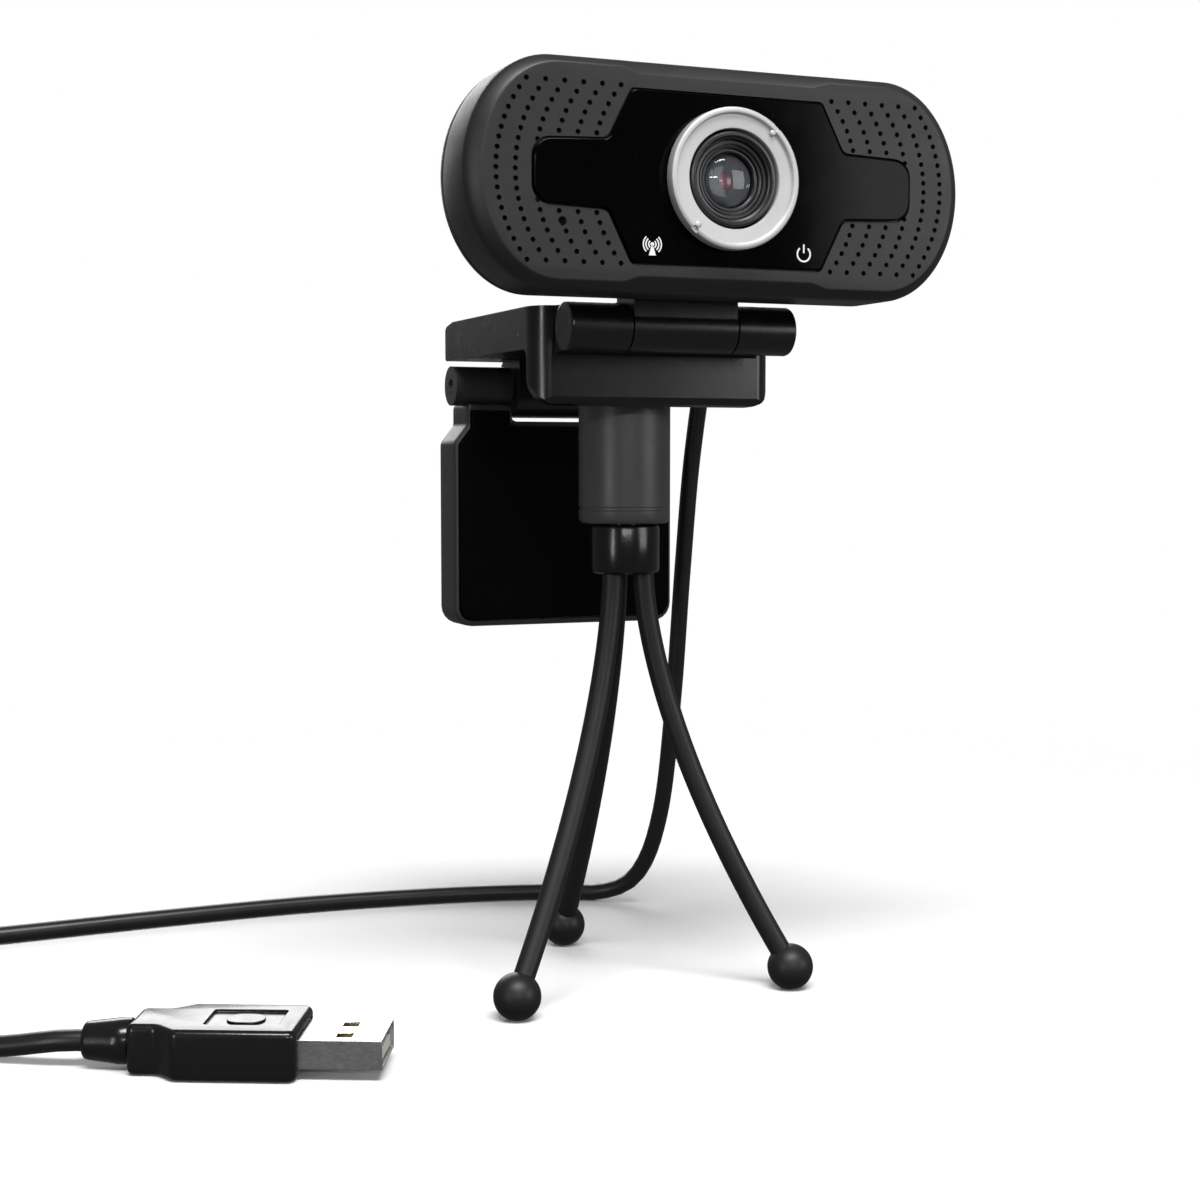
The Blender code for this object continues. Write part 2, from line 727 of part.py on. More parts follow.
FLAP_CORNERS = [
    (22.3, FLAP_BOTTOM),
    (22.3, -40.3),
    (19.7, -37.0),
    (19.7, -33.0),
    (10.7, -33.0),
    (10.7, -36.3),
    (-10.7, -36.3),
    (-10.7, -33.0),
    (-19.7, -33.0),
    (-19.7, -37.0),
    (-22.3, -40.3),
    (-22.3, FLAP_BOTTOM),
]
flap = plate(
    "flap_frame",
    rounded(FLAP_CORNERS, [3.5, 2.0, 1.2, 0.0, 0.0, 0.0, 0.0, 0.0, 0.0, 1.2, 2.0, 3.5]),
    FLAP_REAR - FLAP_FRONT,
    CLIP_BLACK,
    FLAP,
    (0.0, (FLAP_FRONT + FLAP_REAR) / 2.0, 0.0),
    FACING_FRONT,
)
bevel(flap, 0.9, 2, 50.0)
left_barrel = cylinder(
    "flap_left_barrel", FLAP_BARREL_RADIUS, 11.3, None, FLAP, (-16.35, *FLAP_AXIS[1:]), FACING_RIGHT, 32
)
right_barrel = cylinder(
    "flap_right_barrel", FLAP_BARREL_RADIUS, 11.3, None, FLAP, (16.35, *FLAP_AXIS[1:]), FACING_RIGHT, 32
)
pad_room = plate(
    "pad_room",
    rounded(
        [
            (21.6, -74.0),
            (21.6, -40.6),
            (19.2, -37.6),
            (19.2, -34.2),
            (11.2, -34.2),
            (11.2, -36.9),
            (-11.2, -36.9),
            (-11.2, -34.2),
            (-19.2, -34.2),
            (-19.2, -37.6),
            (-21.6, -40.6),
            (-21.6, -74.0),
        ],
        [2.6, 1.0, 0.5, 0.0, 0.0, 0.0, 0.0, 0.0, 0.0, 0.5, 1.0, 2.6],
    ),
    4.0,
    None,
    FLAP,
    (0.0, FLAP_FRONT - 2.0 + 1.6, 0.0),
    FACING_FRONT,
)
flap_hollow = box("flap_hollow", (37.0, 6.0, 31.0), None, FLAP, (0.0, 74.0, -56.0))
flap_bore = cylinder("flap_bore", 1.35, 60.0, None, FLAP, FLAP_AXIS, FACING_RIGHT, 24)
join(flap, left_barrel, right_barrel)
cut(flap, pad_room, flap_hollow, flap_bore)
plate(
    "flap_pad",
    rounded(
        [
            (21.3, -73.7),
            (21.3, -40.5),
            (18.9, -37.5),
            (18.9, -34.5),
            (11.5, -34.5),
            (11.5, -37.2),
            (-11.5, -37.2),
            (-11.5, -34.5),
            (-18.9, -34.5),
            (-18.9, -37.5),
            (-21.3, -40.5),
            (-21.3, -73.7),
        ],
        [2.3, 1.0, 0.5, 0.0, 0.0, 0.0, 0.0, 0.0, 0.0, 0.5, 1.0, 2.3],
    ),
    1.6,
    PAD_RUBBER,
    FLAP,
    (0.0, FLAP_FRONT + 0.5, 0.0),
    FACING_FRONT,
)
cylinder("flap_pin", 1.3, 43.0, STEEL, ROOT, FLAP_AXIS, FACING_RIGHT, 24)

# ------------------------------------------------------------------ tripod: screw, collar and stem

turned(
    "tripod_screw",
    [(0.0, 4.7), (2.6, 4.7), (3.1, 4.2), (3.1, -4.0), (0.0, -4.0)],
    STEEL,
    PAN,
    (0.0, TRIPOD_Y, -25.6),
    sides=28,
)
pad_top = turned(
    "platform_pad",
    [(7.9, -25.4), (7.9, -26.5), (3.5, -26.5), (3.5, -25.4)],
    PAD_RUBBER,
    PAN,
    (0.0, TRIPOD_Y, 0.0),
    sides=36,
    closed=True,
)
collar = turned(
    "tripod_collar",
    [
        (3.5, -26.8),
        (7.7, -26.8),
        (COLLAR_RADIUS, -27.3),
        (COLLAR_RADIUS, -54.2),
        (7.5, -54.8),
        (3.3, -54.8),
        (3.3, -30.2),
        (3.5, -30.0),
    ],
    TRIPOD_GREY,
    PAN,
    (0.0, TRIPOD_Y, 0.0),
    sides=40,
    closed=True,
)
stem = turned(
    "tripod_stem",
    [
        (0.0, -40.0),
        (3.0, -40.0),
        (3.0, -55.1),
        (5.8, -55.1),
        (STEM_RADIUS, -55.6),
        (STEM_RADIUS, STEM_BOTTOM + 0.6),
        (STEM_RADIUS - 0.6, STEM_BOTTOM),
        (0.0, STEM_BOTTOM),
    ],
    PLUG_BLACK,
    PAN,
    (0.0, TRIPOD_Y, 0.0),
    sides=36,
)
for number, azimuth in enumerate(LEG_AZIMUTHS, 1):
    socket_x = SOCKET_OFFSET * math.cos(math.radians(azimuth))
    socket_y = TRIPOD_Y + SOCKET_OFFSET * math.sin(math.radians(azimuth))
    cut(
        stem,
        cylinder(f"leg_socket_{number}", 1.9, 8.0, None, PAN, (socket_x, socket_y, STEM_BOTTOM), sides=20),
    )

# ------------------------------------------------------------------ tripod: three bendable legs

FOOT_DROP = HEAD_CENTRE_HEIGHT + STEM_BOTTOM - FOOT_RADIUS + 0.2
leg_line = []
for step in range(25):
    share = step / 24.0
    leg_line.append((FOOT_REACH * share**1.6, 0.0, -0.8 - (FOOT_DROP - 0.8) * share))
foot_centre = Vector((FOOT_REACH, 0.0, -FOOT_DROP))
leg_line = [place for place in leg_line if (Vector(place) - foot_centre).length > FOOT_RADIUS + 1.0]
last = Vector(leg_line[-1])
leg_line.append(tuple(foot_centre + (last - foot_centre).normalized() * (FOOT_RADIUS + 0.35)))

foot_profile = [
    (FOOT_RADIUS * math.sin(math.radians(a)), FOOT_RADIUS * math.cos(math.radians(a))) for a in range(0, 165, 12)
]
foot_flat = math.sqrt(FOOT_RADIUS**2 - (FOOT_RADIUS - 0.2) ** 2)
foot_profile = [*foot_profile, (foot_flat, -FOOT_RADIUS + 0.2), (0.0, -FOOT_RADIUS + 0.2)]

for number, azimuth in enumerate(LEG_AZIMUTHS, 1):
    out = Vector((math.cos(math.radians(azimuth)), math.sin(math.radians(azimuth)), 0.0))
    root = Vector((0.0, TRIPOD_Y, STEM_BOTTOM)) + out * SOCKET_OFFSET
    hinge = body_axis(f"leg_axis_{number}", tuple(root), PAN)
    cylinder(f"leg_wire_{number}", 1.0, 3.6, STEEL, hinge, root + Vector((0.0, 0.0, 1.4)), sides=16)
    rod(f"leg_{number}", leg_line, LEG_RADIUS, LEG_RUBBER, hinge, root, (0.0, 0.0, azimuth))
    foot_place = root + out * FOOT_REACH + Vector((0.0, 0.0, -FOOT_DROP))
    turned(f"foot_{number}", foot_profile, LEG_RUBBER, hinge, foot_place, (0.0, 0.0, azimuth), 24)

# ------------------------------------------------------------------ lead: strain relief, cord and coil

turned(
    "cord_gland",
    [
        (0.0, 4.6),
        (2.1, 4.6),
        (2.2, 4.3),
        (3.5, -3.4),
        (3.5, -4.4),
        (2.7, -4.4),
        (2.7, -7.0),
        (0.0, -7.0),
    ],
    CORD_BLACK,
    TILT,
    (GLAND_X, 27.4 + 1.7, -3.0),
    (-90.0, 0.0, 0.0),
    24,
)
ON_FLOOR = FLOOR + CORD_RADIUS + 0.05
LEAD_ROUTE = [
    (GLAND_X, 34.0, -3.0),
    (GLAND_X, 39.0, -3.0),
    (27.4, 52.0, -7.5),
    (28.0, 65.0, -21.0),
    (28.6, 74.0, -42.0),
    (29.2, 80.0, -66.0),
    (29.8, 85.5, -92.0),
    (29.6, 91.5, -117.0),
    (27.0, 98.0, -131.5),
    (20.0, 104.5, ON_FLOOR),
    (8.0, 110.0, ON_FLOOR),
    (-12.0, 114.5, ON_FLOOR),
    (-40.0, 117.0, ON_FLOOR),
    (-70.0, 116.0, ON_FLOOR),
    (-100.0, 113.8, ON_FLOOR),
    (-116.0, 113.4 - 1.4, ON_FLOOR),
]
lead_points = smooth_route(LEAD_ROUTE, 7.0)
for point in lead_points:
    point.z = max(point.z, ON_FLOOR)
FLEX_POINTS = 8
flex_end = lead_points[FLEX_POINTS - 1]
lead_start = flex_end + (lead_points[FLEX_POINTS] - flex_end).normalized() * GAP
rod("cord_flex", lead_points[:FLEX_POINTS], CORD_RADIUS, CORD_BLACK, ROOT, (0.0, 0.0, 0.0))
rod("cord_lead", [lead_start, *lead_points[FLEX_POINTS:]], CORD_RADIUS, CORD_BLACK, ROOT, (0.0, 0.0, 0.0))
turned(
    "cord_coil",
    [
        (COIL_MEAN_RADIUS + COIL_HALF_WIDTH - 1.5, COIL_HEIGHT),
        (COIL_MEAN_RADIUS + COIL_HALF_WIDTH, COIL_HEIGHT - 1.5),
        (COIL_MEAN_RADIUS + COIL_HALF_WIDTH, 1.5),
        (COIL_MEAN_RADIUS + COIL_HALF_WIDTH - 1.5, 0.0),
        (COIL_MEAN_RADIUS - COIL_HALF_WIDTH + 1.5, 0.0),
        (COIL_MEAN_RADIUS - COIL_HALF_WIDTH, 1.5),
        (COIL_MEAN_RADIUS - COIL_HALF_WIDTH, COIL_HEIGHT - 1.5),
        (COIL_MEAN_RADIUS - COIL_HALF_WIDTH + 1.5, COIL_HEIGHT),
    ],
    CORD_BLACK,
    ROOT,
    (COIL_CENTRE[0], COIL_CENTRE[1], FLOOR + 0.05),
    sides=32,
    closed=True,
)

# ------------------------------------------------------------------ plug, lying flat on the table

PLUG_AHEAD = Vector((math.cos(math.radians(PLUG_TURN)), math.sin(math.radians(PLUG_TURN)), 0.0))
PLUG_LEVEL = FLOOR + PLUG_AXIS_HEIGHT


def on_plug(ahead):
    """A place on the plug's axis, measured from the rear end of its boot."""
    return Vector((PLUG_REAR[0], PLUG_REAR[1], PLUG_LEVEL)) + PLUG_AHEAD * ahead


turned(
    "plug_boot",
    [(0.0, 7.4), (3.6, 7.4), (3.6, 5.0), (3.0, 0.3), (2.7, 0.0), (0.0, 0.0)],
    PLUG_BLACK,
    ROOT,
    on_plug(0.0),
    (0.0, 90.0, PLUG_TURN),
    24,
)
PLUG_PLAN = [
    (7.7, -5.15),
    (12.6, -5.15),
    (15.6, -7.95),
    (34.5, -7.95),
    (34.5, 7.95),
    (15.6, 7.95),
    (12.6, 5.15),
    (7.7, 5.15),
]
moulding = plate(
    "plug_body",
    rounded(PLUG_PLAN, [0.8, 1.0, 1.0, 0.8, 0.8, 1.0, 1.0, 0.8], 3),
    8.0,
    PLUG_BLACK,
    ROOT,
    on_plug(0.0),
    (0.0, 0.0, PLUG_TURN),
)
bevel(moulding, 0.7, 2, 50.0)
shell_seat = box("shell_seat", (16.0, 12.6, 5.1), None, ROOT, on_plug(34.5), (0.0, 0.0, PLUG_TURN))
face_recess = box(
    "face_recess", (11.0, 7.4, 0.8), None, ROOT, on_plug(25.5) + Vector((0.0, 0.0, 4.0)), (0.0, 0.0, PLUG_TURN)
)
cut(moulding, shell_seat, face_recess)
plug_shell = box("plug_shell", (19.0, 12.0, 4.5), STEEL, ROOT, on_plug(38.0), (0.0, 0.0, PLUG_TURN))
shell_room = box("shell_room", (19.0, 11.4, 3.9), None, ROOT, on_plug(38.4), (0.0, 0.0, PLUG_TURN))
cut(plug_shell, shell_room)
for number, side in enumerate((-2.9, 2.9), 1):
    aside = Vector((-PLUG_AHEAD.y, PLUG_AHEAD.x, 0.0)) * side
    window = box(
        f"shell_window_{number}",
        (2.4, 2.4, 9.0),
        None,
        ROOT,
        on_plug(41.3) + aside,
        (0.0, 0.0, PLUG_TURN),
    )
    cut(plug_shell, window)
box(
    "plug_tongue",
    (17.6, 10.8, 1.7),
    CONNECTOR_WHITE,
    ROOT,
    on_plug(38.2) + Vector((0.0, 0.0, -0.8)),
    (0.0, 0.0, PLUG_TURN),
)
for number, side in enumerate((-3.6, -1.2, 1.2, 3.6), 1):
    aside = Vector((-PLUG_AHEAD.y, PLUG_AHEAD.x, 0.0)) * side
    box(
        f"plug_contact_{number}",
        (8.0, 1.0, 0.3),
        GOLD,
        ROOT,
        on_plug(42.0) + aside + Vector((0.0, 0.0, 0.5)),
        (0.0, 0.0, PLUG_TURN),
    )

TAIL_ROUTE = [
    tuple(on_plug(-GAP)),
    tuple(on_plug(-5.0) + Vector((0.0, 0.0, -0.2))),
    (-109.0, 35.2, FLOOR + 2.5),
    (-119.0, 43.5, ON_FLOOR),
    (-126.0, 54.0, ON_FLOOR),
    (-128.5, 61.5, ON_FLOOR),
]
rod("cord_tail", smooth_route(TAIL_ROUTE, 6.0), CORD_RADIUS, CORD_BLACK, ROOT, (0.0, 0.0, 0.0))
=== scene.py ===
import math

import bmesh
import bpy
from mathutils import Matrix, Vector


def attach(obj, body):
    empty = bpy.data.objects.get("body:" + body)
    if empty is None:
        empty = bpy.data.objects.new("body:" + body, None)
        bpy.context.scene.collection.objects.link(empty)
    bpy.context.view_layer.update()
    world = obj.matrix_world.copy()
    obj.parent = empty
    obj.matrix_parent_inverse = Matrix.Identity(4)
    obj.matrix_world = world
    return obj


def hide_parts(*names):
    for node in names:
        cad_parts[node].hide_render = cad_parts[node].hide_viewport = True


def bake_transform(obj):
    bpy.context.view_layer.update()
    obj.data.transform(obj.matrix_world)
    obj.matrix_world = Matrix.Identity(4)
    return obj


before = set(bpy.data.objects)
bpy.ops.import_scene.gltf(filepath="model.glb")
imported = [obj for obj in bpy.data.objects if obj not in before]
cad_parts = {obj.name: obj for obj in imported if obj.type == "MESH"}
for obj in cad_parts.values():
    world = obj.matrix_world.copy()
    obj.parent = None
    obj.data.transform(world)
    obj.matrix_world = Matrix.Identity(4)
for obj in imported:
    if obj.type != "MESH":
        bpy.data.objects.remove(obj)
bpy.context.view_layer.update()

# The camera stands in front of the webcam, a little to its left and just below the top of the head,
# as someone sitting at the table would see it.
camera_data = bpy.data.cameras.new("camera")
camera_data.lens = 58.5
camera_data.clip_start = 0.01
camera = bpy.data.objects.new("camera", camera_data)
camera.location = (-0.1363, -0.3171, 0.0940)
camera.rotation_euler = (math.radians(86.0), 0.0, math.radians(-22.35))
bpy.context.scene.collection.objects.link(camera)
bpy.context.scene.camera = camera
bpy.context.scene.view_settings.view_transform = "Standard"


class Reading:
    """A value that changes over a surface. A sum written with it adds Math nodes."""

    def __init__(self, finish, socket):
        self.finish = finish
        self.socket = socket

    def work(self, operation, first, second=0.0):
        return self.finish.node("ShaderNodeMath", {"operation": operation}, {0: first, 1: second})

    def sine(self):
        return self.work("SINE", self)

    def __add__(self, other):
        return self.work("ADD", self, other)

    __radd__ = __add__

    def __sub__(self, other):
        return self.work("SUBTRACT", self, other)

    def __mul__(self, other):
        return self.work("MULTIPLY", self, other)

    def __pow__(self, other):
        return self.work("POWER", self, other)

    def __gt__(self, other):
        return self.work("GREATER_THAN", self, other)


class Nodes:
    """The nodes of one material or of the room."""

    def __init__(self, tree):
        self.tree = tree

    def node(self, kind, settings, sockets, out=0):
        made = self.tree.nodes.new(kind)
        for name, value in settings.items():
            if name == "stops":
                for stop, (position, colour) in zip(made.color_ramp.elements, value):
                    stop.position = position
                    stop.color = (*colour, 1.0)
            else:
                setattr(made, name, value)
        for name, value in sockets.items():
            if isinstance(value, Reading):
                self.tree.links.new(value.socket, made.inputs[name])
            else:
                made.inputs[name].default_value = value
        return Reading(self, made.outputs[out])


class Finish(Nodes):
    """One finish of the webcam. Its steady values sit on the shader's own sockets."""

    def __init__(self, name, steady):
        self.material = bpy.data.materials.new(name)
        self.material.use_nodes = True
        super().__init__(self.material.node_tree)
        self.shader = self.tree.nodes["Principled BSDF"]
        for socket, value in steady.items():
            self.shader.inputs[socket].default_value = value

    def place(self):
        return self.node("ShaderNodeTexCoord", {}, {}, "Object")

    def along(self, axis):
        return self.node("ShaderNodeSeparateXYZ", {}, {"Vector": self.place()}, axis)

    def noise(self, size, detail=2.0, stretch=(1.0, 1.0, 1.0)):
        spot = self.place()
        if stretch != (1.0, 1.0, 1.0):
            spot = self.node("ShaderNodeVectorMath", {"operation": "MULTIPLY"}, {0: spot, 1: stretch})
        return self.node("ShaderNodeTexNoise", {}, {"Vector": spot, "Scale": 1.0 / size, "Detail": detail})

    def tint(self, share, low, high):
        """Mix two colours by a share. The node's colour sockets are its sixth and seventh."""
        ends = {0: share, 6: (*low, 1.0), 7: (*high, 1.0)}
        return self.node("ShaderNodeMix", {"data_type": "RGBA"}, ends, 2)

    def bump(self, height, distance, strength=1.0, below=None):
        sockets = {"Strength": strength, "Distance": distance, "Height": height}
        if below is not None:
            sockets["Normal"] = below
        return self.node("ShaderNodeBump", {}, sockets, "Normal")

    def paint(self, sockets):
        for name, value in sockets.items():
            self.tree.links.new(value.socket, self.shader.inputs[name])
        return self.material


# A plain white table top that fades into white round its edge, in a dim room with white walls. A large
# soft lamp hangs above, a tall one stands at the left, weaker ones at the right and behind, and a low
# strip in front.
TABLE_HALF = 2.0
FADE_START = 0.10
FADE_END = 0.36
table = bpy.data.meshes.new("table_top")
table_corners = [(x * TABLE_HALF, y * TABLE_HALF, 0.0) for x, y in ((-1, -1), (1, -1), (1, 1), (-1, 1))]
table.from_pydata(table_corners, [], [(0, 1, 2, 3)])
floor = bpy.data.objects.new("table_top", table)
bpy.context.scene.collection.objects.link(floor)
white_top = Finish("white_table", {"Roughness": 0.9, "Specular IOR Level": 0.1})
across = white_top.along(0)
back = white_top.along(1)
far = (across * across + back * back) ** 0.5
table.materials.append(
    white_top.paint(
        {
            "Base Color": white_top.tint(white_top.noise(0.2), (0.87, 0.87, 0.87), (0.89, 0.89, 0.89)),
            "Alpha": white_top.node(
                "ShaderNodeMapRange",
                {"interpolation_type": "SMOOTHSTEP"},
                {"Value": far, "From Min": FADE_START, "From Max": FADE_END, "To Min": 1.0, "To Max": 0.0},
            ),
        }
    )
)
floor.visible_diffuse = False
floor.visible_glossy = False

white_room = bpy.data.worlds.new("white_room")
bpy.context.scene.world = white_room
white_room.use_nodes = True
room = Nodes(white_room.node_tree)
seen = room.node("ShaderNodeLightPath", {}, {}, "Is Camera Ray")
ROOM_LIGHT = 0.13  # what the white walls give to everything but the eye
walls = white_room.node_tree.nodes["Background"]
walls.inputs["Color"].default_value = (1.0, 1.0, 1.0, 1.0)
white_room.node_tree.links.new((seen * (1.0 - ROOM_LIGHT) + ROOM_LIGHT).socket, walls.inputs["Strength"])


def lamp(name, where, aim, size, power):
    data = bpy.data.lights.new(name, "AREA")
    data.shape = "RECTANGLE"
    data.size, data.size_y = size
    data.energy = power
    made = bpy.data.objects.new(name, data)
    made.location = where
    made.rotation_euler = (Vector(aim) - Vector(where)).to_track_quat("-Z", "Y").to_euler()
    bpy.context.scene.collection.objects.link(made)


lamp("top_lamp", (-0.1, -0.46, 0.93), (0.0, 0.0, 0.08), (0.75, 0.26), 12.5)
lamp("left_lamp", (-0.72, -0.4, 0.16), (0.0, 0.0, 0.11), (0.08, 0.36), 1.0)
lamp("back_lamp", (0.15, 0.95, 0.45), (0.0, 0.0, 0.1), (0.7, 0.5), 5.0)
lamp("right_lamp", (0.66, -0.74, 0.3), (0.0, 0.0, 0.12), (0.45, 0.45), 2.4)
lamp("front_lamp", (-0.2, -0.85, 0.33), (0.0, 0.0, 0.11), (0.5, 0.05), 1.3)


# The USB lead: a soft round PVC cord, extruded in one length. It leaves the head's back, hangs to the
# table, is wound up in a tied coil and comes out of the coil to its plug.
MM = 0.001
FACE_FROM_MIDDLE = 38.5
HEAD_HEIGHT_OVER_TABLE = 138.0
CURVE_STEPS = 24


def at(x, y, z):
    """A place measured in millimetres from the middle of the head's front face."""
    return Vector((x, y - FACE_FROM_MIDDLE, z + HEAD_HEIGHT_OVER_TABLE)) * MM


def flowing(corners, spacing):
    """Even points on the smooth curve that passes through the given ones."""
    knots = [corners[0] * 2 - corners[1], *corners, corners[-1] * 2 - corners[-2]]
    fine = []
    for before, start, end, after in zip(knots, knots[1:], knots[2:], knots[3:]):
        for step in range(CURVE_STEPS):
            t = step / CURVE_STEPS
            fine.append(
                0.5
                * (
                    2 * start
                    + (end - before) * t
                    + (2 * before - 5 * start + 4 * end - after) * t * t
                    + (3 * start - before - 3 * end + after) * t * t * t
                )
            )
    fine.append(knots[-2])
    gone = [0.0]
    for start, end in zip(fine, fine[1:]):
        gone.append(gone[-1] + (end - start).length)
    count = max(2, round(gone[-1] / spacing))
    even = []
    index = 0
    for step in range(count + 1):
        target = gone[-1] * step / count
        while index < len(fine) - 2 and gone[index + 1] < target:
            index += 1
        share = (target - gone[index]) / max(gone[index + 1] - gone[index], 1e-9)
        even.append(fine[index].lerp(fine[index + 1], min(max(share, 0.0), 1.0)))
    return even


def skin(name, rings, loop=False, caps=True, sharp=35.0):
    """A closed skin over rings that have the same number of points."""
    shape = bmesh.new()
    rows = [[shape.verts.new(point) for point in ring] for ring in rings]
    count = len(rows[0])
    pairs = list(zip(rows, rows[1:])) + ([(rows[-1], rows[0])] if loop else [])
    for front, back in pairs:
        for index in range(count):
            after = (index + 1) % count
            shape.faces.new((front[index], front[after], back[after], back[index]))
    if caps and not loop:
        shape.faces.new(list(reversed(rows[0])))
        shape.faces.new(rows[-1])
    bmesh.ops.recalc_face_normals(shape, faces=shape.faces)
    return solid(name, shape, sharp)


def solid(name, shape, sharp=35.0):
    mesh = bpy.data.meshes.new(name)
    shape.to_mesh(mesh)
    shape.free()
    mesh.shade_smooth()
    mesh.set_sharp_from_angle(angle=math.radians(sharp))
    piece = bpy.data.objects.new(name, mesh)
    bpy.context.scene.collection.objects.link(piece)
    return piece


def tube(name, path, radius, sides=14):
    """A round tube along a path. radius is one number, or one for each point."""
    radii = radius if isinstance(radius, list) else [radius] * len(path)
    rings = []
    side = None
    for index, (middle, size) in enumerate(zip(path, radii)):
        ahead = (path[min(index + 1, len(path) - 1)] - path[max(index - 1, 0)]).normalized()
        if side is None:
            side = ahead.orthogonal().normalized()
        side = (side - ahead * side.dot(ahead)).normalized()
        up = ahead.cross(side)
        rings.append(
            [
                middle + (side * math.cos(turn) + up * math.sin(turn)) * size
                for turn in (math.tau * step / sides for step in range(sides))
            ]
        )
    return skin(name, rings)


def settle(piece, body, slot, material, *nodes):
    """Give a piece its finish, its body and the CAD nodes that it stands for."""
    piece.data.materials.clear()
    piece.data.materials.append(material)
    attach(piece, body)
    if nodes:
        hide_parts(*nodes)
    return piece


def moulded(name, dark, light, roughness, grain, depth, steady=None):
    """A moulded finish: cloudy colour, a fine spark-eroded grain and slightly uneven shine."""
    finish = Finish(name, steady or {})
    cloud = finish.noise(0.014, 4.0)
    grit = finish.noise(grain, 2.0)
    rubbed = finish.noise(0.004, 5.0)
    return finish.paint(
        {
            "Base Color": finish.tint(cloud * 0.7 + grit * 0.3, dark, light),
            "Roughness": roughness + (cloud - 0.5) * 0.1 + (rubbed - 0.5) * 0.14,
            "Normal": finish.bump(grit + rubbed * 0.4, depth),
        }
    )


CORD_RADIUS = 1.7
TABLE_CLEARANCE = 0.05
ON_TABLE = CORD_RADIUS + TABLE_CLEARANCE - HEAD_HEIGHT_OVER_TABLE
GLAND_X = 27.0
GLAND_Z = -3.0
GLAND_MOUTH = 33.7
COIL_MIDDLE = (-134.0, 88.0)
COIL_COLUMNS = [23.8, 20.4, 17.0, 13.6]
COIL_LAYERS = [2.2, 5.65, 9.1]
CROSSING = 70.0  # degrees over which one turn climbs or steps in to the next
TURN_STEPS = 24
COIL_START = 90.0
LAST_TURN = 120

lead_route = [
    at(GLAND_X, 31.5, GLAND_Z),
    at(GLAND_X, 34.0, GLAND_Z),
    at(GLAND_X, 39.0, GLAND_Z),
    at(27.4, 52.0, -7.5),
    at(28.0, 65.0, -21.0),
    at(28.6, 74.0, -42.0),
    at(29.2, 80.0, -66.0),
    at(29.8, 85.5, -92.0),
    at(29.6, 91.5, -117.0),
    at(27.0, 98.0, -131.5),
    at(20.0, 104.5, ON_TABLE),
    at(8.0, 110.0, ON_TABLE),
    at(-12.0, 114.5, ON_TABLE),
    at(-40.0, 117.0, ON_TABLE),
    at(-70.0, 116.0, ON_TABLE),
    at(-100.0, 113.6, ON_TABLE),
    at(-118.0, 112.2, ON_TABLE + 0.2),
]


def on_coil(angle, radius, height):
    turn = math.radians(angle)
    return at(
        COIL_MIDDLE[0] + radius * math.cos(turn),
        COIL_MIDDLE[1] + radius * math.sin(turn),
        height - HEAD_HEIGHT_OVER_TABLE,
    )


turns = [(radius, COIL_LAYERS[0]) for radius in COIL_COLUMNS]
turns += [(radius, COIL_LAYERS[1]) for radius in reversed(COIL_COLUMNS)]
turns += [(COIL_COLUMNS[1], COIL_LAYERS[2]), (COIL_COLUMNS[0], COIL_LAYERS[2])]
coil_route = []
for (radius, height), (next_radius, next_height) in zip(turns, turns[1:]):
    for step in range(TURN_STEPS):
        gone = 360.0 * step / TURN_STEPS
        share = min(max((gone - (360.0 - CROSSING)) / CROSSING, 0.0), 1.0)
        share = share * share * (3.0 - 2.0 * share)
        now_radius = radius + (next_radius - radius) * share
        now_height = height + (next_height - height) * share
        coil_route.append(on_coil(COIL_START + gone, now_radius, now_height))
for gone in range(0, LAST_TURN + 1, 15):
    coil_route.append(on_coil(COIL_START + gone, COIL_COLUMNS[0], COIL_LAYERS[2]))

PLUG_REAR = (-97.0, 28.0)
PLUG_TURN = math.radians(-25.0)
PLUG_AHEAD = Vector((math.cos(PLUG_TURN), math.sin(PLUG_TURN), 0.0))
PLUG_ASIDE = Vector((-PLUG_AHEAD.y, PLUG_AHEAD.x, 0.0))
PLUG_LEVEL = 4.1


def on_plug(ahead, aside=0.0, up=0.0):
    """A place on the plug, measured in millimetres from the rear end of its boot."""
    return (
        at(PLUG_REAR[0], PLUG_REAR[1], PLUG_LEVEL + up - HEAD_HEIGHT_OVER_TABLE)
        + (PLUG_AHEAD * ahead + PLUG_ASIDE * aside) * MM
    )


tail_route = [
    on_coil(227.0, 24.7, 8.9),
    on_coil(239.0, 26.2, 8.2),
    on_coil(251.0, 28.4, 6.6),
    on_coil(261.0, 31.4, 4.4),
    on_coil(269.0, 35.6, 2.5),
    at(-127.0, 48.5, ON_TABLE),
    at(-119.0, 42.0, ON_TABLE),
    at(-109.0, 35.4, ON_TABLE + 0.7),
    on_plug(-5.0, 0.0, -0.2),
    on_plug(-0.3),
    on_plug(1.5),
]
lead_path = flowing([*lead_route, *coil_route, *tail_route], 3.0 * MM)
for spot in lead_path:
    spot.z = max(spot.z, (CORD_RADIUS + TABLE_CLEARANCE) * MM)
usb_lead = tube("usb_lead", lead_path, CORD_RADIUS * MM, 14)
CORD_PVC = moulded("cord_pvc", (0.006, 0.006, 0.0065), (0.013, 0.013, 0.014), 0.36, 0.00025, 0.00001)
usb_lead.data.materials.append(CORD_PVC)
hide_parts("cord_flex", "cord_lead", "cord_coil", "cord_tail")
at(GLAND_X, 34.0, GLAND_Z)
at(28.0, 68.0, -27.0)
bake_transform(usb_lead)

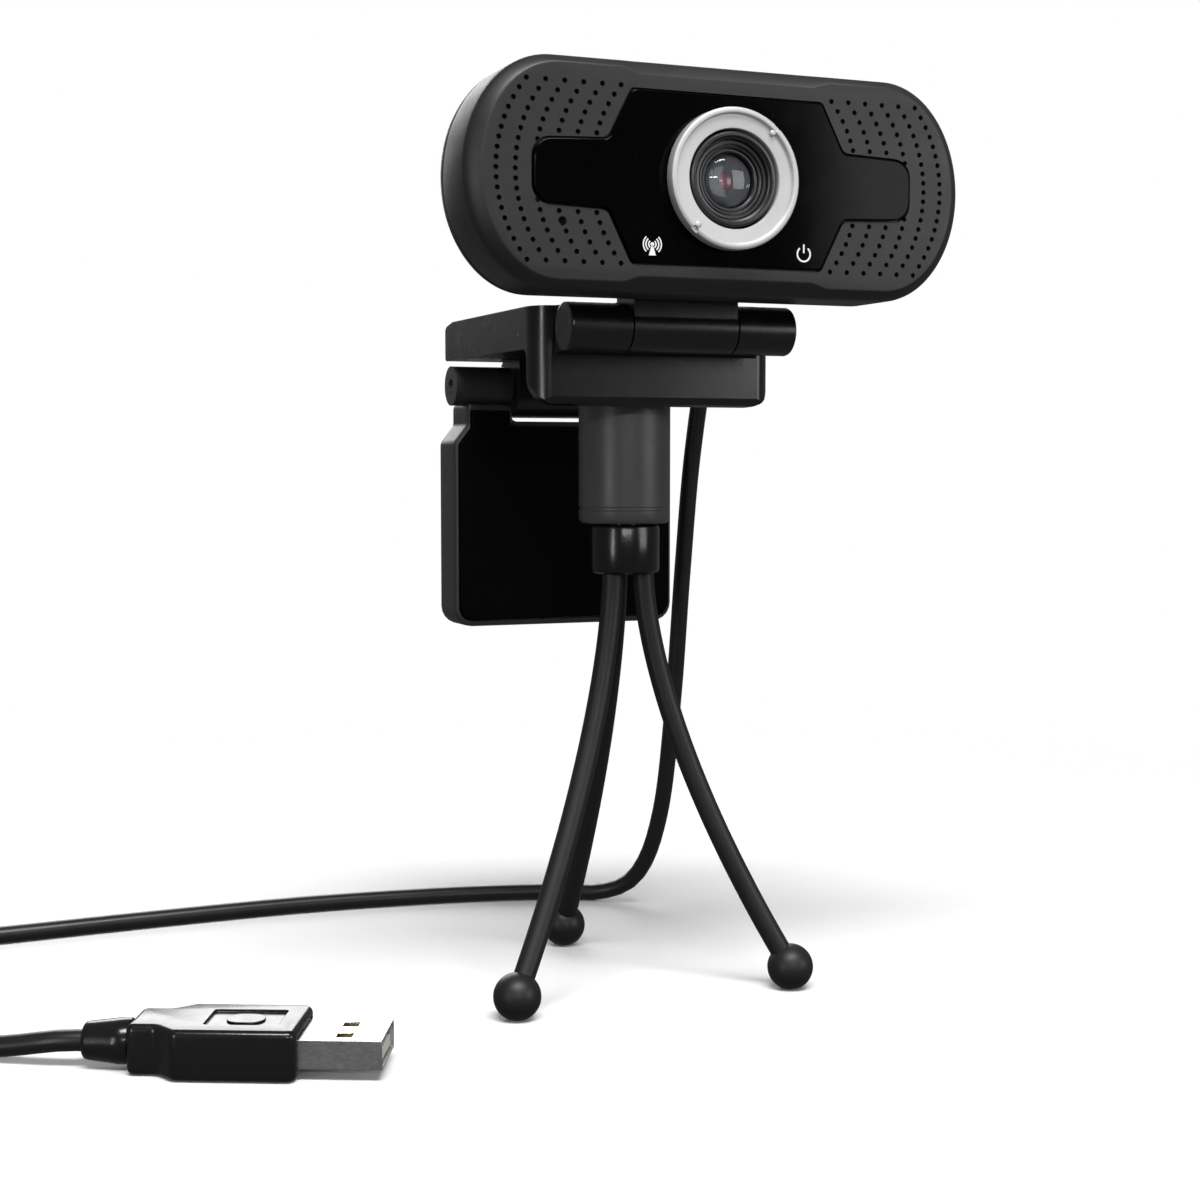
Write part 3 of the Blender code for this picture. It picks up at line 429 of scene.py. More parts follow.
# The coil's tie: a flat soft strap, pulled round all the turns at one place and pressed shut on top.
STRAP_TURN = math.radians(160.0)
STRAP_OUT = Vector((math.cos(STRAP_TURN), math.sin(STRAP_TURN), 0.0))
STRAP_ASIDE = Vector((-STRAP_OUT.y, STRAP_OUT.x, 0.0))
STRAP_EDGE = [(-2.0, 0.1), (-1.9, 0.2), (1.9, 0.2), (2.0, 0.1)]
strap_corners = [(14.0, 0.27), (18.7, 0.27), (24.5, 0.4), (26.2, 2.4), (26.2, 9.0), (24.4, 11.3)]
strap_corners += [(20.0, 11.3), (15.5, 8.6), (12.8, 7.7), (11.3, 5.8), (11.3, 2.4), (12.6, 0.5), (14.0, 0.27)]
strap_line = flowing([Vector((radius, 0.0, height)) for radius, height in strap_corners], 0.8)[:-1]


def strap_loop(aside, outwards):
    """The strap's line round the turns, moved aside along the coil and pushed out from the turns."""
    loop = []
    for index, spot in enumerate(strap_line):
        along = strap_line[(index + 1) % len(strap_line)] - strap_line[index - 1]
        spot = spot + Vector((along.z, 0.0, -along.x)).normalized() * outwards
        loop.append(
            at(
                COIL_MIDDLE[0] + STRAP_OUT.x * spot.x + STRAP_ASIDE.x * aside,
                COIL_MIDDLE[1] + STRAP_OUT.y * spot.x + STRAP_ASIDE.y * aside,
                max(spot.z, TABLE_CLEARANCE) - HEAD_HEIGHT_OVER_TABLE,
            )
        )
    return loop


strap_loops = [strap_loop(aside, half) for aside, half in STRAP_EDGE]
strap_loops += [strap_loop(aside, -half) for aside, half in reversed(STRAP_EDGE)]
coil_tie = skin("coil_tie", strap_loops, loop=True)
woven = Finish("tie_fabric", {"Sheen Weight": 0.3})
weave = woven.node(
    "ShaderNodeTexWave",
    {"wave_type": "BANDS", "bands_direction": "DIAGONAL"},
    {"Vector": woven.place(), "Scale": 900.0},
)
fuzz = woven.noise(0.0003, 3.0)
TIE_FABRIC = woven.paint(
    {
        "Base Color": woven.tint(weave * 0.6 + fuzz * 0.4, (0.01, 0.01, 0.011), (0.03, 0.03, 0.032)),
        "Roughness": 0.8 + (fuzz - 0.5) * 0.2,
        "Normal": woven.bump(weave + fuzz, 0.00006),
    }
)
settle(coil_tie, "clip", "cord_black", TIE_FABRIC)

# The strain relief at the head's back: a tapered sleeve of soft PVC, moulded on the cord, ribbed so
# that it bends evenly, and held in the rear shell by its flange.
RIB_COUNT = 5
RIB_PITCH = 1.5
gland_profile = [(27.8, 1.72), (33.6, 1.75), (33.65, 2.1), (33.4, 2.2)]
for rib in range(RIB_COUNT):
    y = 32.6 - rib * RIB_PITCH
    bulge = 2.35 + rib * 0.25
    gland_profile += [(y + 0.35, bulge), (y - 0.35, bulge + 0.06)]
    gland_profile += [(y - 0.55, bulge - 0.25), (y - 0.95, bulge - 0.2)]
gland_profile += [(25.1, 3.45), (24.75, 3.5), (24.7, 2.7), (22.1, 2.7), (22.1, 1.72)]


def spun(name, middle, axis, profile, sides=48, loop=True):
    """Turn a profile of (distance along the axis, radius) once round the axis."""
    ahead = Vector(axis).normalized()
    side = ahead.orthogonal().normalized()
    up = ahead.cross(side)
    shape = bmesh.new()
    columns = []
    for step in range(sides):
        turn = math.tau * step / sides
        arm = side * math.cos(turn) + up * math.sin(turn)
        columns.append([middle + (ahead * along + arm * radius) * MM for along, radius in profile])
    poles = {
        index: shape.verts.new(middle + ahead * along * MM)
        for index, (along, radius) in enumerate(profile)
        if radius == 0.0
    }
    rows = [
        [poles[index] if index in poles else shape.verts.new(spot) for index, spot in enumerate(column)]
        for column in columns
    ]
    last = len(profile)
    for one, two in zip(rows, rows[1:] + rows[:1]):
        for index in range(last if loop else last - 1):
            after = (index + 1) % last
            corners = list(dict.fromkeys((one[index], one[after], two[after], two[index])))
            if len(corners) > 2:
                shape.faces.new(corners)
    bmesh.ops.recalc_face_normals(shape, faces=shape.faces)
    return solid(name, shape)


strain_relief = spun("lead_strain_relief", at(GLAND_X, 0.0, GLAND_Z), (0, 1, 0), gland_profile, 32)
settle(strain_relief, "head", "cord_black", CORD_PVC, "cord_gland")


# The plug: a glossy black PVC moulding over a folded steel shell. It has a plain oval pad in a recess
# for the finger, narrows behind it and ends in a soft boot that takes the cord.
def evaluated(piece):
    """Freeze a piece's modifiers into its mesh."""
    mesh = bpy.data.meshes.new_from_object(piece.evaluated_get(bpy.context.evaluated_depsgraph_get()))
    piece.modifiers.clear()
    piece.data = mesh
    return piece


def carve(piece, tools, operation="DIFFERENCE", sharp=35.0):
    """Cut tools out of a piece, or join them to it, then throw the tools away."""
    for tool in tools:
        step = piece.modifiers.new("carve", "BOOLEAN")
        step.operation = operation
        step.solver = "EXACT"
        step.object = tool
    bpy.context.view_layer.update()
    evaluated(piece)
    for tool in tools:
        bpy.data.objects.remove(tool, do_unlink=True)
    piece.data.shade_smooth()
    piece.data.set_sharp_from_angle(angle=math.radians(sharp))
    return piece


def soften(piece, width, segments=3, angle=40.0):
    """Round every edge sharper than the angle."""
    step = piece.modifiers.new("soften", "BEVEL")
    step.width = width * MM
    step.segments = segments
    step.limit_method = "ANGLE"
    step.angle_limit = math.radians(angle)
    return piece


def slab(name, outline, low, high, place):
    """Stand a flat outline up between two levels. place turns (across, up, level) into a point."""
    return skin(name, [[place(a, b, level) for a, b in outline] for level in (low, high)])


def rounded(corners, radii, steps=6):
    """Round the corners of a flat outline."""
    outline = []
    count = len(corners)
    for index, (corner, radius) in enumerate(zip(corners, radii)):
        here = Vector(corner)
        before = (Vector(corners[index - 1]) - here).normalized()
        after = (Vector(corners[(index + 1) % count]) - here).normalized()
        if radius <= 0.0:
            outline.append(tuple(here))
            continue
        half = before.angle(after) / 2.0
        reach = radius / math.tan(half)
        middle = here + (before + after).normalized() * (radius / math.sin(half))
        start = here + before * reach - middle
        end = here + after * reach - middle
        for step in range(steps + 1):
            outline.append(tuple(middle + start.normalized().slerp(end.normalized(), step / steps) * radius))
    return outline


PLUG_PLAN = [
    (7.7, -5.15),
    (12.6, -5.15),
    (15.6, -7.95),
    (34.5, -7.95),
    (34.5, 7.95),
    (15.6, 7.95),
    (12.6, 5.15),
    (7.7, 5.15),
]
PLUG_ROUNDING = [1.2, 2.2, 2.2, 1.4, 1.4, 2.2, 2.2, 1.2]
PLUG_HALF_THICKNESS = 4.0
RECESS_FLOOR = 3.55
plug_moulding = slab(
    "plug_moulding", rounded(PLUG_PLAN, PLUG_ROUNDING), -PLUG_HALF_THICKNESS, PLUG_HALF_THICKNESS, on_plug
)
soften(plug_moulding, 1.1, 5, 50.0)
evaluated(plug_moulding)
shell_seat = slab("shell_seat", [(27.0, -6.3), (43.0, -6.3), (43.0, 6.3), (27.0, 6.3)], -2.55, 2.55, on_plug)
recess_outline = rounded([(19.6, -4.2), (31.2, -4.2), (31.2, 4.2), (19.6, 4.2)], [0.6] * 4)
grip_recess = slab("grip_recess", recess_outline, RECESS_FLOOR, 5.0, on_plug)
carve(plug_moulding, [shell_seat, grip_recess])
soften(plug_moulding, 0.12, 2, 50.0)
PLUG_PVC = moulded("plug_pvc", (0.004, 0.004, 0.0045), (0.009, 0.009, 0.0095), 0.2, 0.0005, 0.000012)
settle(plug_moulding, "clip", "plug_black", PLUG_PVC, "plug_body")
pad_oval = rounded([(22.4, -2.4), (28.4, -2.4), (28.4, 2.4), (22.4, 2.4)], [2.2] * 4, 8)
grip_pad = slab("plug_grip_pad", pad_oval, RECESS_FLOOR + 0.01, RECESS_FLOOR + 0.3, on_plug)
soften(grip_pad, 0.12, 3, 50.0)
settle(grip_pad, "clip", "plug_black", PLUG_PVC)
boot_profile = [(7.4, 1.75), (7.4, 3.5), (7.2, 3.6), (5.2, 3.6), (4.9, 3.5)]
boot_profile += [(0.7, 3.0), (0.2, 2.85), (0.0, 2.6), (0.0, 1.75)]
plug_boot = spun("plug_boot_sleeve", on_plug(0.0), PLUG_AHEAD, boot_profile, 40)
settle(plug_boot, "clip", "plug_black", PLUG_PVC, "plug_boot")


def keep(material, rounding, *names):
    """Carry a CAD node over, with rounded edges and its real finish."""
    for name in names:
        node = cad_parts[name]
        weld = node.modifiers.new("weld", "WELD")
        weld.merge_threshold = 0.001 * MM
        flat = node.modifiers.new("flat", "DECIMATE")
        flat.decimate_type = "DISSOLVE"
        flat.angle_limit = math.radians(0.8)
        if rounding > 0.0:
            edge = node.modifiers.new("edge", "BEVEL")
            edge.width = rounding * MM
            edge.segments = 2
            edge.limit_method = "ANGLE"
            edge.angle_limit = math.radians(38.0)
        even = node.modifiers.new("even", "WEIGHTED_NORMAL")
        even.keep_sharp = True
        for face in node.data.polygons:
            face.use_smooth = True
        if not node.material_slots:
            node.data.materials.append(material)
        for place in node.material_slots:
            place.material = material


def brushed(name, dark, light, roughness, stretch, steady=None):
    """Bright metal with fine scratches along one way."""
    finish = Finish(name, {"Metallic": 1.0, **(steady or {})})
    scratch = finish.noise(0.0004, 4.0, stretch)
    cloud = finish.noise(0.005, 3.0)
    return finish.paint(
        {
            "Base Color": finish.tint(scratch * 0.5 + cloud * 0.5, dark, light),
            "Roughness": roughness + (scratch - 0.5) * 0.2 + (cloud - 0.5) * 0.1,
            "Normal": finish.bump(scratch, 0.000006),
        }
    )


STEEL_SHEET = brushed("steel_sheet", (0.5, 0.5, 0.51), (0.72, 0.72, 0.73), 0.3, (0.15, 1.0, 1.0))
GOLD_FLASH = brushed("gold_flash", (0.78, 0.55, 0.2), (0.9, 0.68, 0.32), 0.25, (0.3, 1.0, 1.0))
NYLON = moulded("nylon", (0.7, 0.68, 0.62), (0.82, 0.8, 0.74), 0.5, 0.0002, 0.00001)
keep(STEEL_SHEET, 0.18, "plug_shell")
keep(NYLON, 0.1, "plug_tongue")
keep(GOLD_FLASH, 0.05, "plug_contact_1", "plug_contact_2", "plug_contact_3", "plug_contact_4")

at(GLAND_X, GLAND_MOUTH, GLAND_Z)

# The rear shell of the head: ABS, moulded in one piece with a matte spark-eroded face. Four screws
# hold it to the front, and the parting line runs round between the two.
HEAD_HALF_WIDTH = 43.0
HEAD_HALF_HEIGHT = 17.75
HEAD_END_REACH = 14.0
SHELL_WALL = 1.8
CORNER_STEPS = 26
MIDDLE_START = 15.0
MIDDLE_END = 17.8


def head_ring(depth, end_inset, edge_inset=None, middle_inset=None):
    """The head's outline at one depth, pulled in by its ends, its long edges and their middle."""
    edge_inset = end_inset if edge_inset is None else edge_inset
    middle_inset = edge_inset if middle_inset is None else middle_inset
    height = HEAD_HALF_HEIGHT - edge_inset
    reach = HEAD_END_REACH - end_inset * 0.6
    shoulder = HEAD_HALF_WIDTH - end_inset - reach
    quarter = []
    for step in range(CORNER_STEPS):
        turn = math.radians(90.0 * step / CORNER_STEPS)
        quarter.append((shoulder + reach * math.cos(turn), height * math.sin(turn)))
    quarter += [(shoulder, height), (MIDDLE_END, height), (MIDDLE_START, HEAD_HALF_HEIGHT - middle_inset)]
    top = quarter + [(-x, z) for x, z in reversed(quarter)]
    outline = top + [(-x, -z) for x, z in top[1:-1]]
    return [at(x, depth, z) for x, z in outline]


def disc(name, radius, middle, axis, length, sides=32):
    """A plain round tool for cutting, centred on its middle."""
    half = length / 2.0
    profile = [(-half, 0.0), (-half, radius), (half, radius), (half, 0.0)]
    return spun(name, middle, axis, profile, sides, False)


def block(name, middle, size):
    """A plain square tool for cutting."""
    x, y, z = (part / 2.0 for part in size)
    corners = ((-1, -1), (1, -1), (1, 1), (-1, 1))
    low, high = [
        [at(middle[0] + a * x, middle[1] + b * y, middle[2] + c * z) for a, b in corners] for c in (-1, 1)
    ]
    return skin(name, [low, high])


# Each step of the shell's rounding is a depth and how far its outline is pulled in there.
rear_steps = [(12.3, 0.25), (12.5, 0.03), (12.8, 0.0), (13.6, 0.1), (14.6, 0.42), (16.0, 1.0), (17.4, 1.65)]
rear_steps += [(18.8, 2.4), (20.1, 3.3), (21.3, 4.3), (22.4, 5.4), (23.3, 6.5), (24.0, 7.5)]
rear_steps += [(24.4, 8.3), (24.5, 8.9)]
rear_shell = skin("rear_shell", [head_ring(depth, inset) for depth, inset in rear_steps], sharp=50.0)
rear_room = skin(
    "rear_room",
    [
        head_ring(11.0, SHELL_WALL),
        head_ring(14.0, SHELL_WALL + 0.4),
        head_ring(18.6, SHELL_WALL + 2.7),
        head_ring(22.7, SHELL_WALL + 6.5),
    ],
)
HEAD_SCREWS = [(-24.0, 6.4), (24.0, 6.4), (-24.0, -6.4), (15.0, -6.4)]
rear_tools = [
    rear_room,
    block("neck_pocket", (0.0, 19.0, -17.3), (19.4, 8.0, 6.0)),
    disc("gland_hole", 3.0, at(GLAND_X, 23.0, GLAND_Z), (0, 1, 0), 6.0, 32),
]
rear_tools += [disc("screw_hole", 1.8, at(x, 23.6, z), (0, 1, 0), 6.0, 28) for x, z in HEAD_SCREWS]
carve(rear_shell, rear_tools, sharp=40.0)
SHELL_ABS = moulded(
    "shell_abs",
    (0.0115, 0.0115, 0.012),
    (0.0185, 0.0185, 0.019),
    0.44,
    0.00022,
    0.00002,
    {"Specular IOR Level": 0.42},
)
settle(rear_shell, "head", "shell_black", SHELL_ABS, "head_rear_shell")

# The screws at the back: small pan-head steel screws with a cross recess, driven from behind through
# the rear shell into the front.
STEEL_WIRE = brushed("steel_wire", (0.42, 0.42, 0.43), (0.62, 0.62, 0.63), 0.28, (1.0, 1.0, 1.0))
for number, (x, z) in enumerate(HEAD_SCREWS, 1):
    profile = [(0.8, 0.0), (0.78, 0.5), (0.68, 1.0), (0.5, 1.3), (0.3, 1.44), (0.05, 1.45)]
    profile += [(0.0, 1.4), (0.0, 0.75), (-4.0, 0.75), (-4.6, 0.0)]
    screw = spun(f"rear_screw_{number}", at(x, 22.8, z), (0, 1, 0), profile, 32, False)
    cross = [block("slot", (x, 23.5, z), (1.5, 0.8, 0.3)), block("slot", (x, 23.5, z), (0.3, 0.8, 1.5))]
    carve(screw, cross)
    settle(screw, "head", "steel", STEEL_WIRE, f"head_screw_{number}")

# The front bezel: the same matte ABS, one moulding with a chamfer round its face that is wider in the
# middle. Rows of fine blind holes follow its round ends, and one larger hole lets the sound in.
# Each step of the bezel is a depth and how far its ends, long edges and middle are pulled in there.
bezel_steps = [
    (0.0, 2.3, 1.65, 2.55),
    (0.03, 2.12, 1.47, 2.37),
    (0.14, 1.94, 1.3, 2.19),
    (0.6, 1.35, 0.92, 1.5),
    (1.2, 0.72, 0.5, 0.76),
    (1.7, 0.3, 0.22, 0.3),
    (2.2, 0.08, 0.06, 0.08),
    (2.8, 0.0, 0.0, 0.0),
    (11.5, 0.0, 0.0, 0.0),
    (11.8, 0.03, 0.03, 0.03),
    (12.0, 0.25, 0.25, 0.25),
]
front_bezel = skin("front_bezel", [head_ring(*step) for step in bezel_steps], sharp=60.0)
bezel_room = skin("bezel_room", [head_ring(2.2, SHELL_WALL + 1.0), head_ring(13.0, SHELL_WALL)])
PANEL_CORNERS = [
    (16.3, -13.3),
    (20.3, -5.2),
    (32.6, -4.7),
    (32.6, 4.7),
    (20.3, 5.2),
    (16.3, 13.0),
    (-16.3, 13.0),
    (-20.3, 5.2),
    (-32.6, 4.7),
    (-32.6, -4.7),
    (-20.3, -5.2),
    (-16.3, -13.3),
]
PANEL_ROUNDING = [1.0, 1.4, 3.0, 3.0, 1.4, 1.0, 1.0, 1.4, 3.0, 3.0, 1.4, 1.0]


def panel_outline(grow):
    grown = [(x + math.copysign(grow, x), z + math.copysign(grow, z)) for x, z in PANEL_CORNERS]
    return rounded(grown, PANEL_ROUNDING)


def facing(across, up, level):
    return at(across, level, up)


MIC_HOLE = (-27.9, -7.5)
MIC_CLEARANCE = 1.2
HOLE_RADIUS = 0.42
ROW_PITCH = 1.5
ROWS_EACH_WAY = 9
COLUMN_PITCH = 3.083
COLUMN_BEND = 21.06
OUTER_COLUMN = 38.56
pins = bmesh.new()
for row in range(-ROWS_EACH_WAY, ROWS_EACH_WAY + 1):
    z = row * ROW_PITCH
    for column in range(6):
        if column > 2 and abs(row) < 4:  # the panel's arms take the place of the inner holes here
            continue
        x = OUTER_COLUMN - (COLUMN_BEND - math.sqrt(COLUMN_BEND**2 - z * z)) - COLUMN_PITCH * column
        for side in (-1.0, 1.0):
            if math.hypot(side * x - MIC_HOLE[0], z - MIC_HOLE[1]) < MIC_CLEARANCE:
                continue
            bmesh.ops.create_cone(
                pins,
                cap_ends=True,
                segments=12,
                radius1=HOLE_RADIUS * MM,
                radius2=HOLE_RADIUS * MM,
                depth=2.6 * MM,
                matrix=Matrix.Translation(at(side * x, 0.0, z)) @ Matrix.Rotation(math.radians(90.0), 4, "X"),
            )
pin_tool = solid("pin_tool", pins)
carve(
    front_bezel,
    [
        bezel_room,
        slab("panel_recess", panel_outline(0.3), -2.0, 1.1, facing),
        disc("lens_opening", 10.4, at(0.0, 2.0, 0.0), (0, 1, 0), 8.0, 64),
        disc("mic_opening", 0.7, at(MIC_HOLE[0], 2.0, MIC_HOLE[1]), (0, 1, 0), 8.0, 20),
        pin_tool,
    ],
    sharp=60.0,
)
settle(front_bezel, "head", "shell_black", SHELL_ABS, "head_front_bezel")

# The dark panel: a thin acrylic plate, polished, die-cut to its shape and glued into the bezel's recess.
# It has the bore for the lens, and two white signs printed near its lower corners.
face_plate = slab("face_plate", panel_outline(0.0), -0.4, 0.7, facing)
carve(face_plate, [disc("panel_bore", 8.1, at(0.0, 0.0, 0.0), (0, 1, 0), 6.0, 64)])
soften(face_plate, 0.22, 3, 50.0)
acrylic = Finish("black_acrylic", {"Specular IOR Level": 0.09})
smear = acrylic.noise(0.009, 5.0)
dust = acrylic.noise(0.0007, 2.0)
BLACK_ACRYLIC = acrylic.paint(
    {
        "Base Color": acrylic.tint(smear, (0.0004, 0.0004, 0.0005), (0.001, 0.001, 0.0011)),
        "Roughness": 0.1 + (smear - 0.5) * 0.16 + (dust > 0.72) * 0.12,
        "Normal": acrylic.bump(smear, 0.000008),
    }
)
settle(face_plate, "head", "panel_gloss", BLACK_ACRYLIC, "face_panel")

SIGN_X = 13.2
SIGN_Z = -10.8
SIGN_BACK = -0.41
SIGN_FRONT = -0.47


def stroke(shape, points, width, closed=False):
    """One printed line of even width along flat points, square at its ends."""
    points = [Vector(point) for point in points]
    left, right = [], []
    for index, spot in enumerate(points):
        if closed:
            along = points[(index + 1) % len(points)] - points[index - 1]
        else:
            along = points[min(index + 1, len(points) - 1)] - points[max(index - 1, 0)]
        out = Vector((-along.y, along.x)).normalized() * width / 2.0
        left.append(spot + out)
        right.append(spot - out)
    (back_left, back_right), (front_left, front_right) = [
        [[shape.verts.new(at(spot.x, level, spot.y)) for spot in line] for line in (left, right)]
        for level in (SIGN_BACK, SIGN_FRONT)
    ]
    count = len(points)
    for index in range(count if closed else count - 1):
        after = (index + 1) % count
        shape.faces.new((front_left[index], front_left[after], front_right[after], front_right[index]))
        shape.faces.new((back_left[index], back_right[index], back_right[after], back_left[after]))
        shape.faces.new((front_left[index], back_left[index], back_left[after], front_left[after]))
        shape.faces.new((front_right[index], front_right[after], back_right[after], back_right[index]))
    if not closed:
        for index in (0, count - 1):
            shape.faces.new((front_left[index], front_right[index], back_right[index], back_left[index]))


def bow(middle, radius, start, end, steps=20):
    """Points along part of a circle, between two angles in degrees."""
    turns = [math.radians(start + (end - start) * step / steps) for step in range(steps + 1)]
    return [(middle[0] + radius * math.cos(turn), middle[1] + radius * math.sin(turn)) for turn in turns]


WHITE_INK = moulded("white_ink", (0.78, 0.78, 0.78), (0.9, 0.9, 0.9), 0.45, 0.0002, 0.000006)
waves = bmesh.new()
mast = (-SIGN_X, SIGN_Z + 0.35)
for side in (0.0, 180.0):
    for radius, spread in ((0.62, 52.0), (1.08, 50.0), (1.52, 48.0)):
        stroke(waves, bow(mast, radius, side - spread, side + spread), 0.2)
stroke(waves, bow(mast, 0.16, 0.0, 342.0, 19), 0.32, True)
mast_foot = [(0.1, 0.2), (-0.1, 0.2), (-0.6, -1.35), (0.6, -1.35)]
back, front = [
    [waves.verts.new(at(-SIGN_X + x, level, SIGN_Z + z)) for x, z in mast_foot]
    for level in (SIGN_BACK, SIGN_FRONT)
]
waves.faces.new(back)
waves.faces.new(front)
for index in range(4):
    after = (index + 1) % 4
    waves.faces.new((back[index], back[after], front[after], front[index]))
bmesh.ops.recalc_face_normals(waves, faces=waves.faces)
left_sign = solid("signal_sign", waves)
settle(left_sign, "head", "icon_white", WHITE_INK, "icon_light_left")
switch = bmesh.new()
stroke(switch, bow((SIGN_X, SIGN_Z - 0.12), 1.15, 128.0, 412.0, 36), 0.26)
stroke(switch, [(SIGN_X, SIGN_Z + 1.42), (SIGN_X, SIGN_Z + 0.05)], 0.26)
bmesh.ops.recalc_face_normals(switch, faces=switch.faces)
right_sign = solid("power_sign", switch)
settle(right_sign, "head", "icon_white", WHITE_INK, "icon_light_right")

# The focus ring: turned aluminium with a bright rolled rim and a satin dished face, pressed on the lens
# barrel. Two small notches and two nubs beside them give a fingernail its hold.
ring_profile = [
    (7.75, 2.2),
    (7.85, 2.32),
    (8.2, 2.36),
    (9.2, 2.42),
    (9.9, 2.47),
    (10.0, 2.6),
    (10.05, 2.9),
    (10.15, 2.98),
    (10.4, 3.0),
    (10.7, 2.98),
    (10.92, 2.86),
    (11.0, 2.65),
    (11.0, 1.0),
    (10.85, 0.75),
    (10.7, 0.7),
    (7.75, 0.7),
]
LENS_MIDDLE = at(0.0, 0.0, 0.0)
NOTCH_TURNS = (49.0, 229.0)
focus_ring = spun("focus_ring_turned", LENS_MIDDLE, (0, -1, 0), [(y, r) for r, y in ring_profile], 96)
notches = []
nubs = []
for turn in NOTCH_TURNS:
    out = Vector((math.cos(math.radians(turn)), 0.0, math.sin(math.radians(turn))))
    notches.append(disc("notch", 0.62, at(0.0, -3.1, 0.0) + out * 10.75 * MM, (0, 1, 0), 1.1, 24))
    nub = [(2.3, 0.0), (2.3, 0.55), (2.78, 0.5), (2.9, 0.4), (2.95, 0.2), (2.95, 0.0)]
    nubs.append(spun("nub", LENS_MIDDLE + out * 9.75 * MM, (0, -1, 0), nub, 24, False))
carve(focus_ring, notches, sharp=40.0)
carve(focus_ring, nubs, "UNION", sharp=40.0)


def turned_metal(name, dark, light, roughness, pitch, depth, steady):
    """Metal with fine turned rings round the lens axis."""
    finish = Finish(name, steady)
    x = finish.along(0)
    z = finish.along(2) - HEAD_HEIGHT_OVER_TABLE * MM
    radius = (x * x + z * z) ** 0.5
    rings = (radius * (math.tau / pitch)).sine()
    cloud = finish.noise(0.004, 3.0)
    grit = finish.noise(0.00015, 2.0)
    return finish.paint(
        {
            "Base Color": finish.tint(cloud * 0.6 + grit * 0.4, dark, light),
            "Roughness": roughness + (cloud - 0.5) * 0.14 + (grit - 0.5) * 0.1,
            "Normal": finish.bump(rings + grit * 0.8, depth),
        }
    )


SATIN_ALUMINIUM = turned_metal(
    "satin_aluminium", (0.5, 0.5, 0.505), (0.62, 0.62, 0.625), 0.5, 0.00016, 0.0000025, {"Metallic": 0.55}
)
settle(focus_ring, "focus_ring", "ring_silver", SATIN_ALUMINIUM, "focus_ring")

# The lens barrel: blackened brass, turned with stepped and grooved rings that keep stray light off the
# glass, and threaded into the mount behind.
barrel_profile = [
    (6.75, 2.2),
    (7.1, 2.2),
    (7.3, 2.1),
    (7.4, 1.9),
    (7.4, -4.0),
    (6.2, -4.6),
    (6.2, -9.0),
    (3.9, -9.0),
    (3.9, -1.1),
    (4.3, -1.0),
    (4.35, 0.35),
    (4.5, 0.5),
    (4.75, 0.5),
    (4.8, 0.2),
    (4.95, 0.2),
    (5.0, 0.72),
    (5.35, 0.82),
    (5.4, 0.5),
    (5.55, 0.5),
    (5.6, 1.0),
    (6.0, 1.05),
    (6.08, 0.75),
    (6.2, 0.75),
    (6.25, 1.5),
    (6.5, 1.62),
    (6.6, 2.05),
]
barrel = spun("lens_barrel_turned", LENS_MIDDLE, (0, -1, 0), [(y, r) for r, y in barrel_profile], 80)
BLACKENED = turned_metal(
    "blackened_brass",
    (0.008, 0.008, 0.009),
    (0.02, 0.02, 0.021),
    0.32,
    0.00025,
    0.000004,
    {"Specular IOR Level": 0.6},
)
settle(barrel, "focus_ring", "lens_black", BLACKENED, "lens_barrel")
keep(BLACKENED, 0.1, "lens_mount")

# The lens glasses: a coated domed front element, a rear element and a red cut filter in front of the
# sensor, all held in the barrel by their rims.
GLASS_RADIUS = 4.05
GLASS_DOME = 1.3
dome_turns = [math.radians(turn) for turn in range(0, 91, 6)]
dome = [(GLASS_DOME * math.cos(turn) - 0.5, GLASS_RADIUS * math.sin(turn)) for turn in dome_turns]
dome += [(-0.6, GLASS_RADIUS), (-0.6, 0.0)]
front_glass = spun("front_glass_dome", LENS_MIDDLE, (0, -1, 0), dome, 64, False)


def glass(name, dark, light, steady):
    finish = Finish(name, steady)
    film = finish.noise(0.003, 3.0)
    return finish.paint(
        {
            "Base Color": finish.tint(film, dark, light),
            "Roughness": 0.03 + (film - 0.5) * 0.03,
            "Normal": finish.bump(film, 0.0000006),
        }
    )


COATED_GLASS = glass(
    "coated_glass", (0.62, 0.66, 0.74), (0.74, 0.76, 0.8), {"Transmission Weight": 0.95, "IOR": 1.45}
)
settle(front_glass, "focus_ring", "lens_glass", COATED_GLASS, "lens_front_glass")
keep(COATED_GLASS, 0.1, "lens_rear_glass")
RED_FILTER = glass("red_filter", (0.35, 0.02, 0.02), (0.5, 0.05, 0.04), {"Specular IOR Level": 0.8})
keep(RED_FILTER, 0.05, "ir_filter")
stop_profile = [(-0.75, 3.85), (-0.75, 1.6), (-0.85, 1.45), (-1.0, 1.45), (-1.0, 3.85)]
aperture_stop = spun("aperture_stop", LENS_MIDDLE, (0, -1, 0), stop_profile, 64)
STOP_BLACK = moulded("stop_black", (0.003, 0.003, 0.0035), (0.006, 0.006, 0.0065), 0.4, 0.0003, 0.000004)
settle(aperture_stop, "focus_ring", "lens_black", STOP_BLACK)
element_profile = [(-1.05, 0.0), (-1.1, 0.5), (-1.25, 1.0), (-1.5, 1.42), (-2.2, 1.42), (-2.2, 0.0)]
red_element = spun("red_element", LENS_MIDDLE, (0, -1, 0), element_profile, 48, False)
RED_COATING = glass(
    "red_coating", (0.3, 0.004, 0.012), (0.5, 0.01, 0.025), {"Specular IOR Level": 1.0, "Coat Weight": 1.0}
)
settle(red_element, "focus_ring", "ir_glass", RED_COATING)

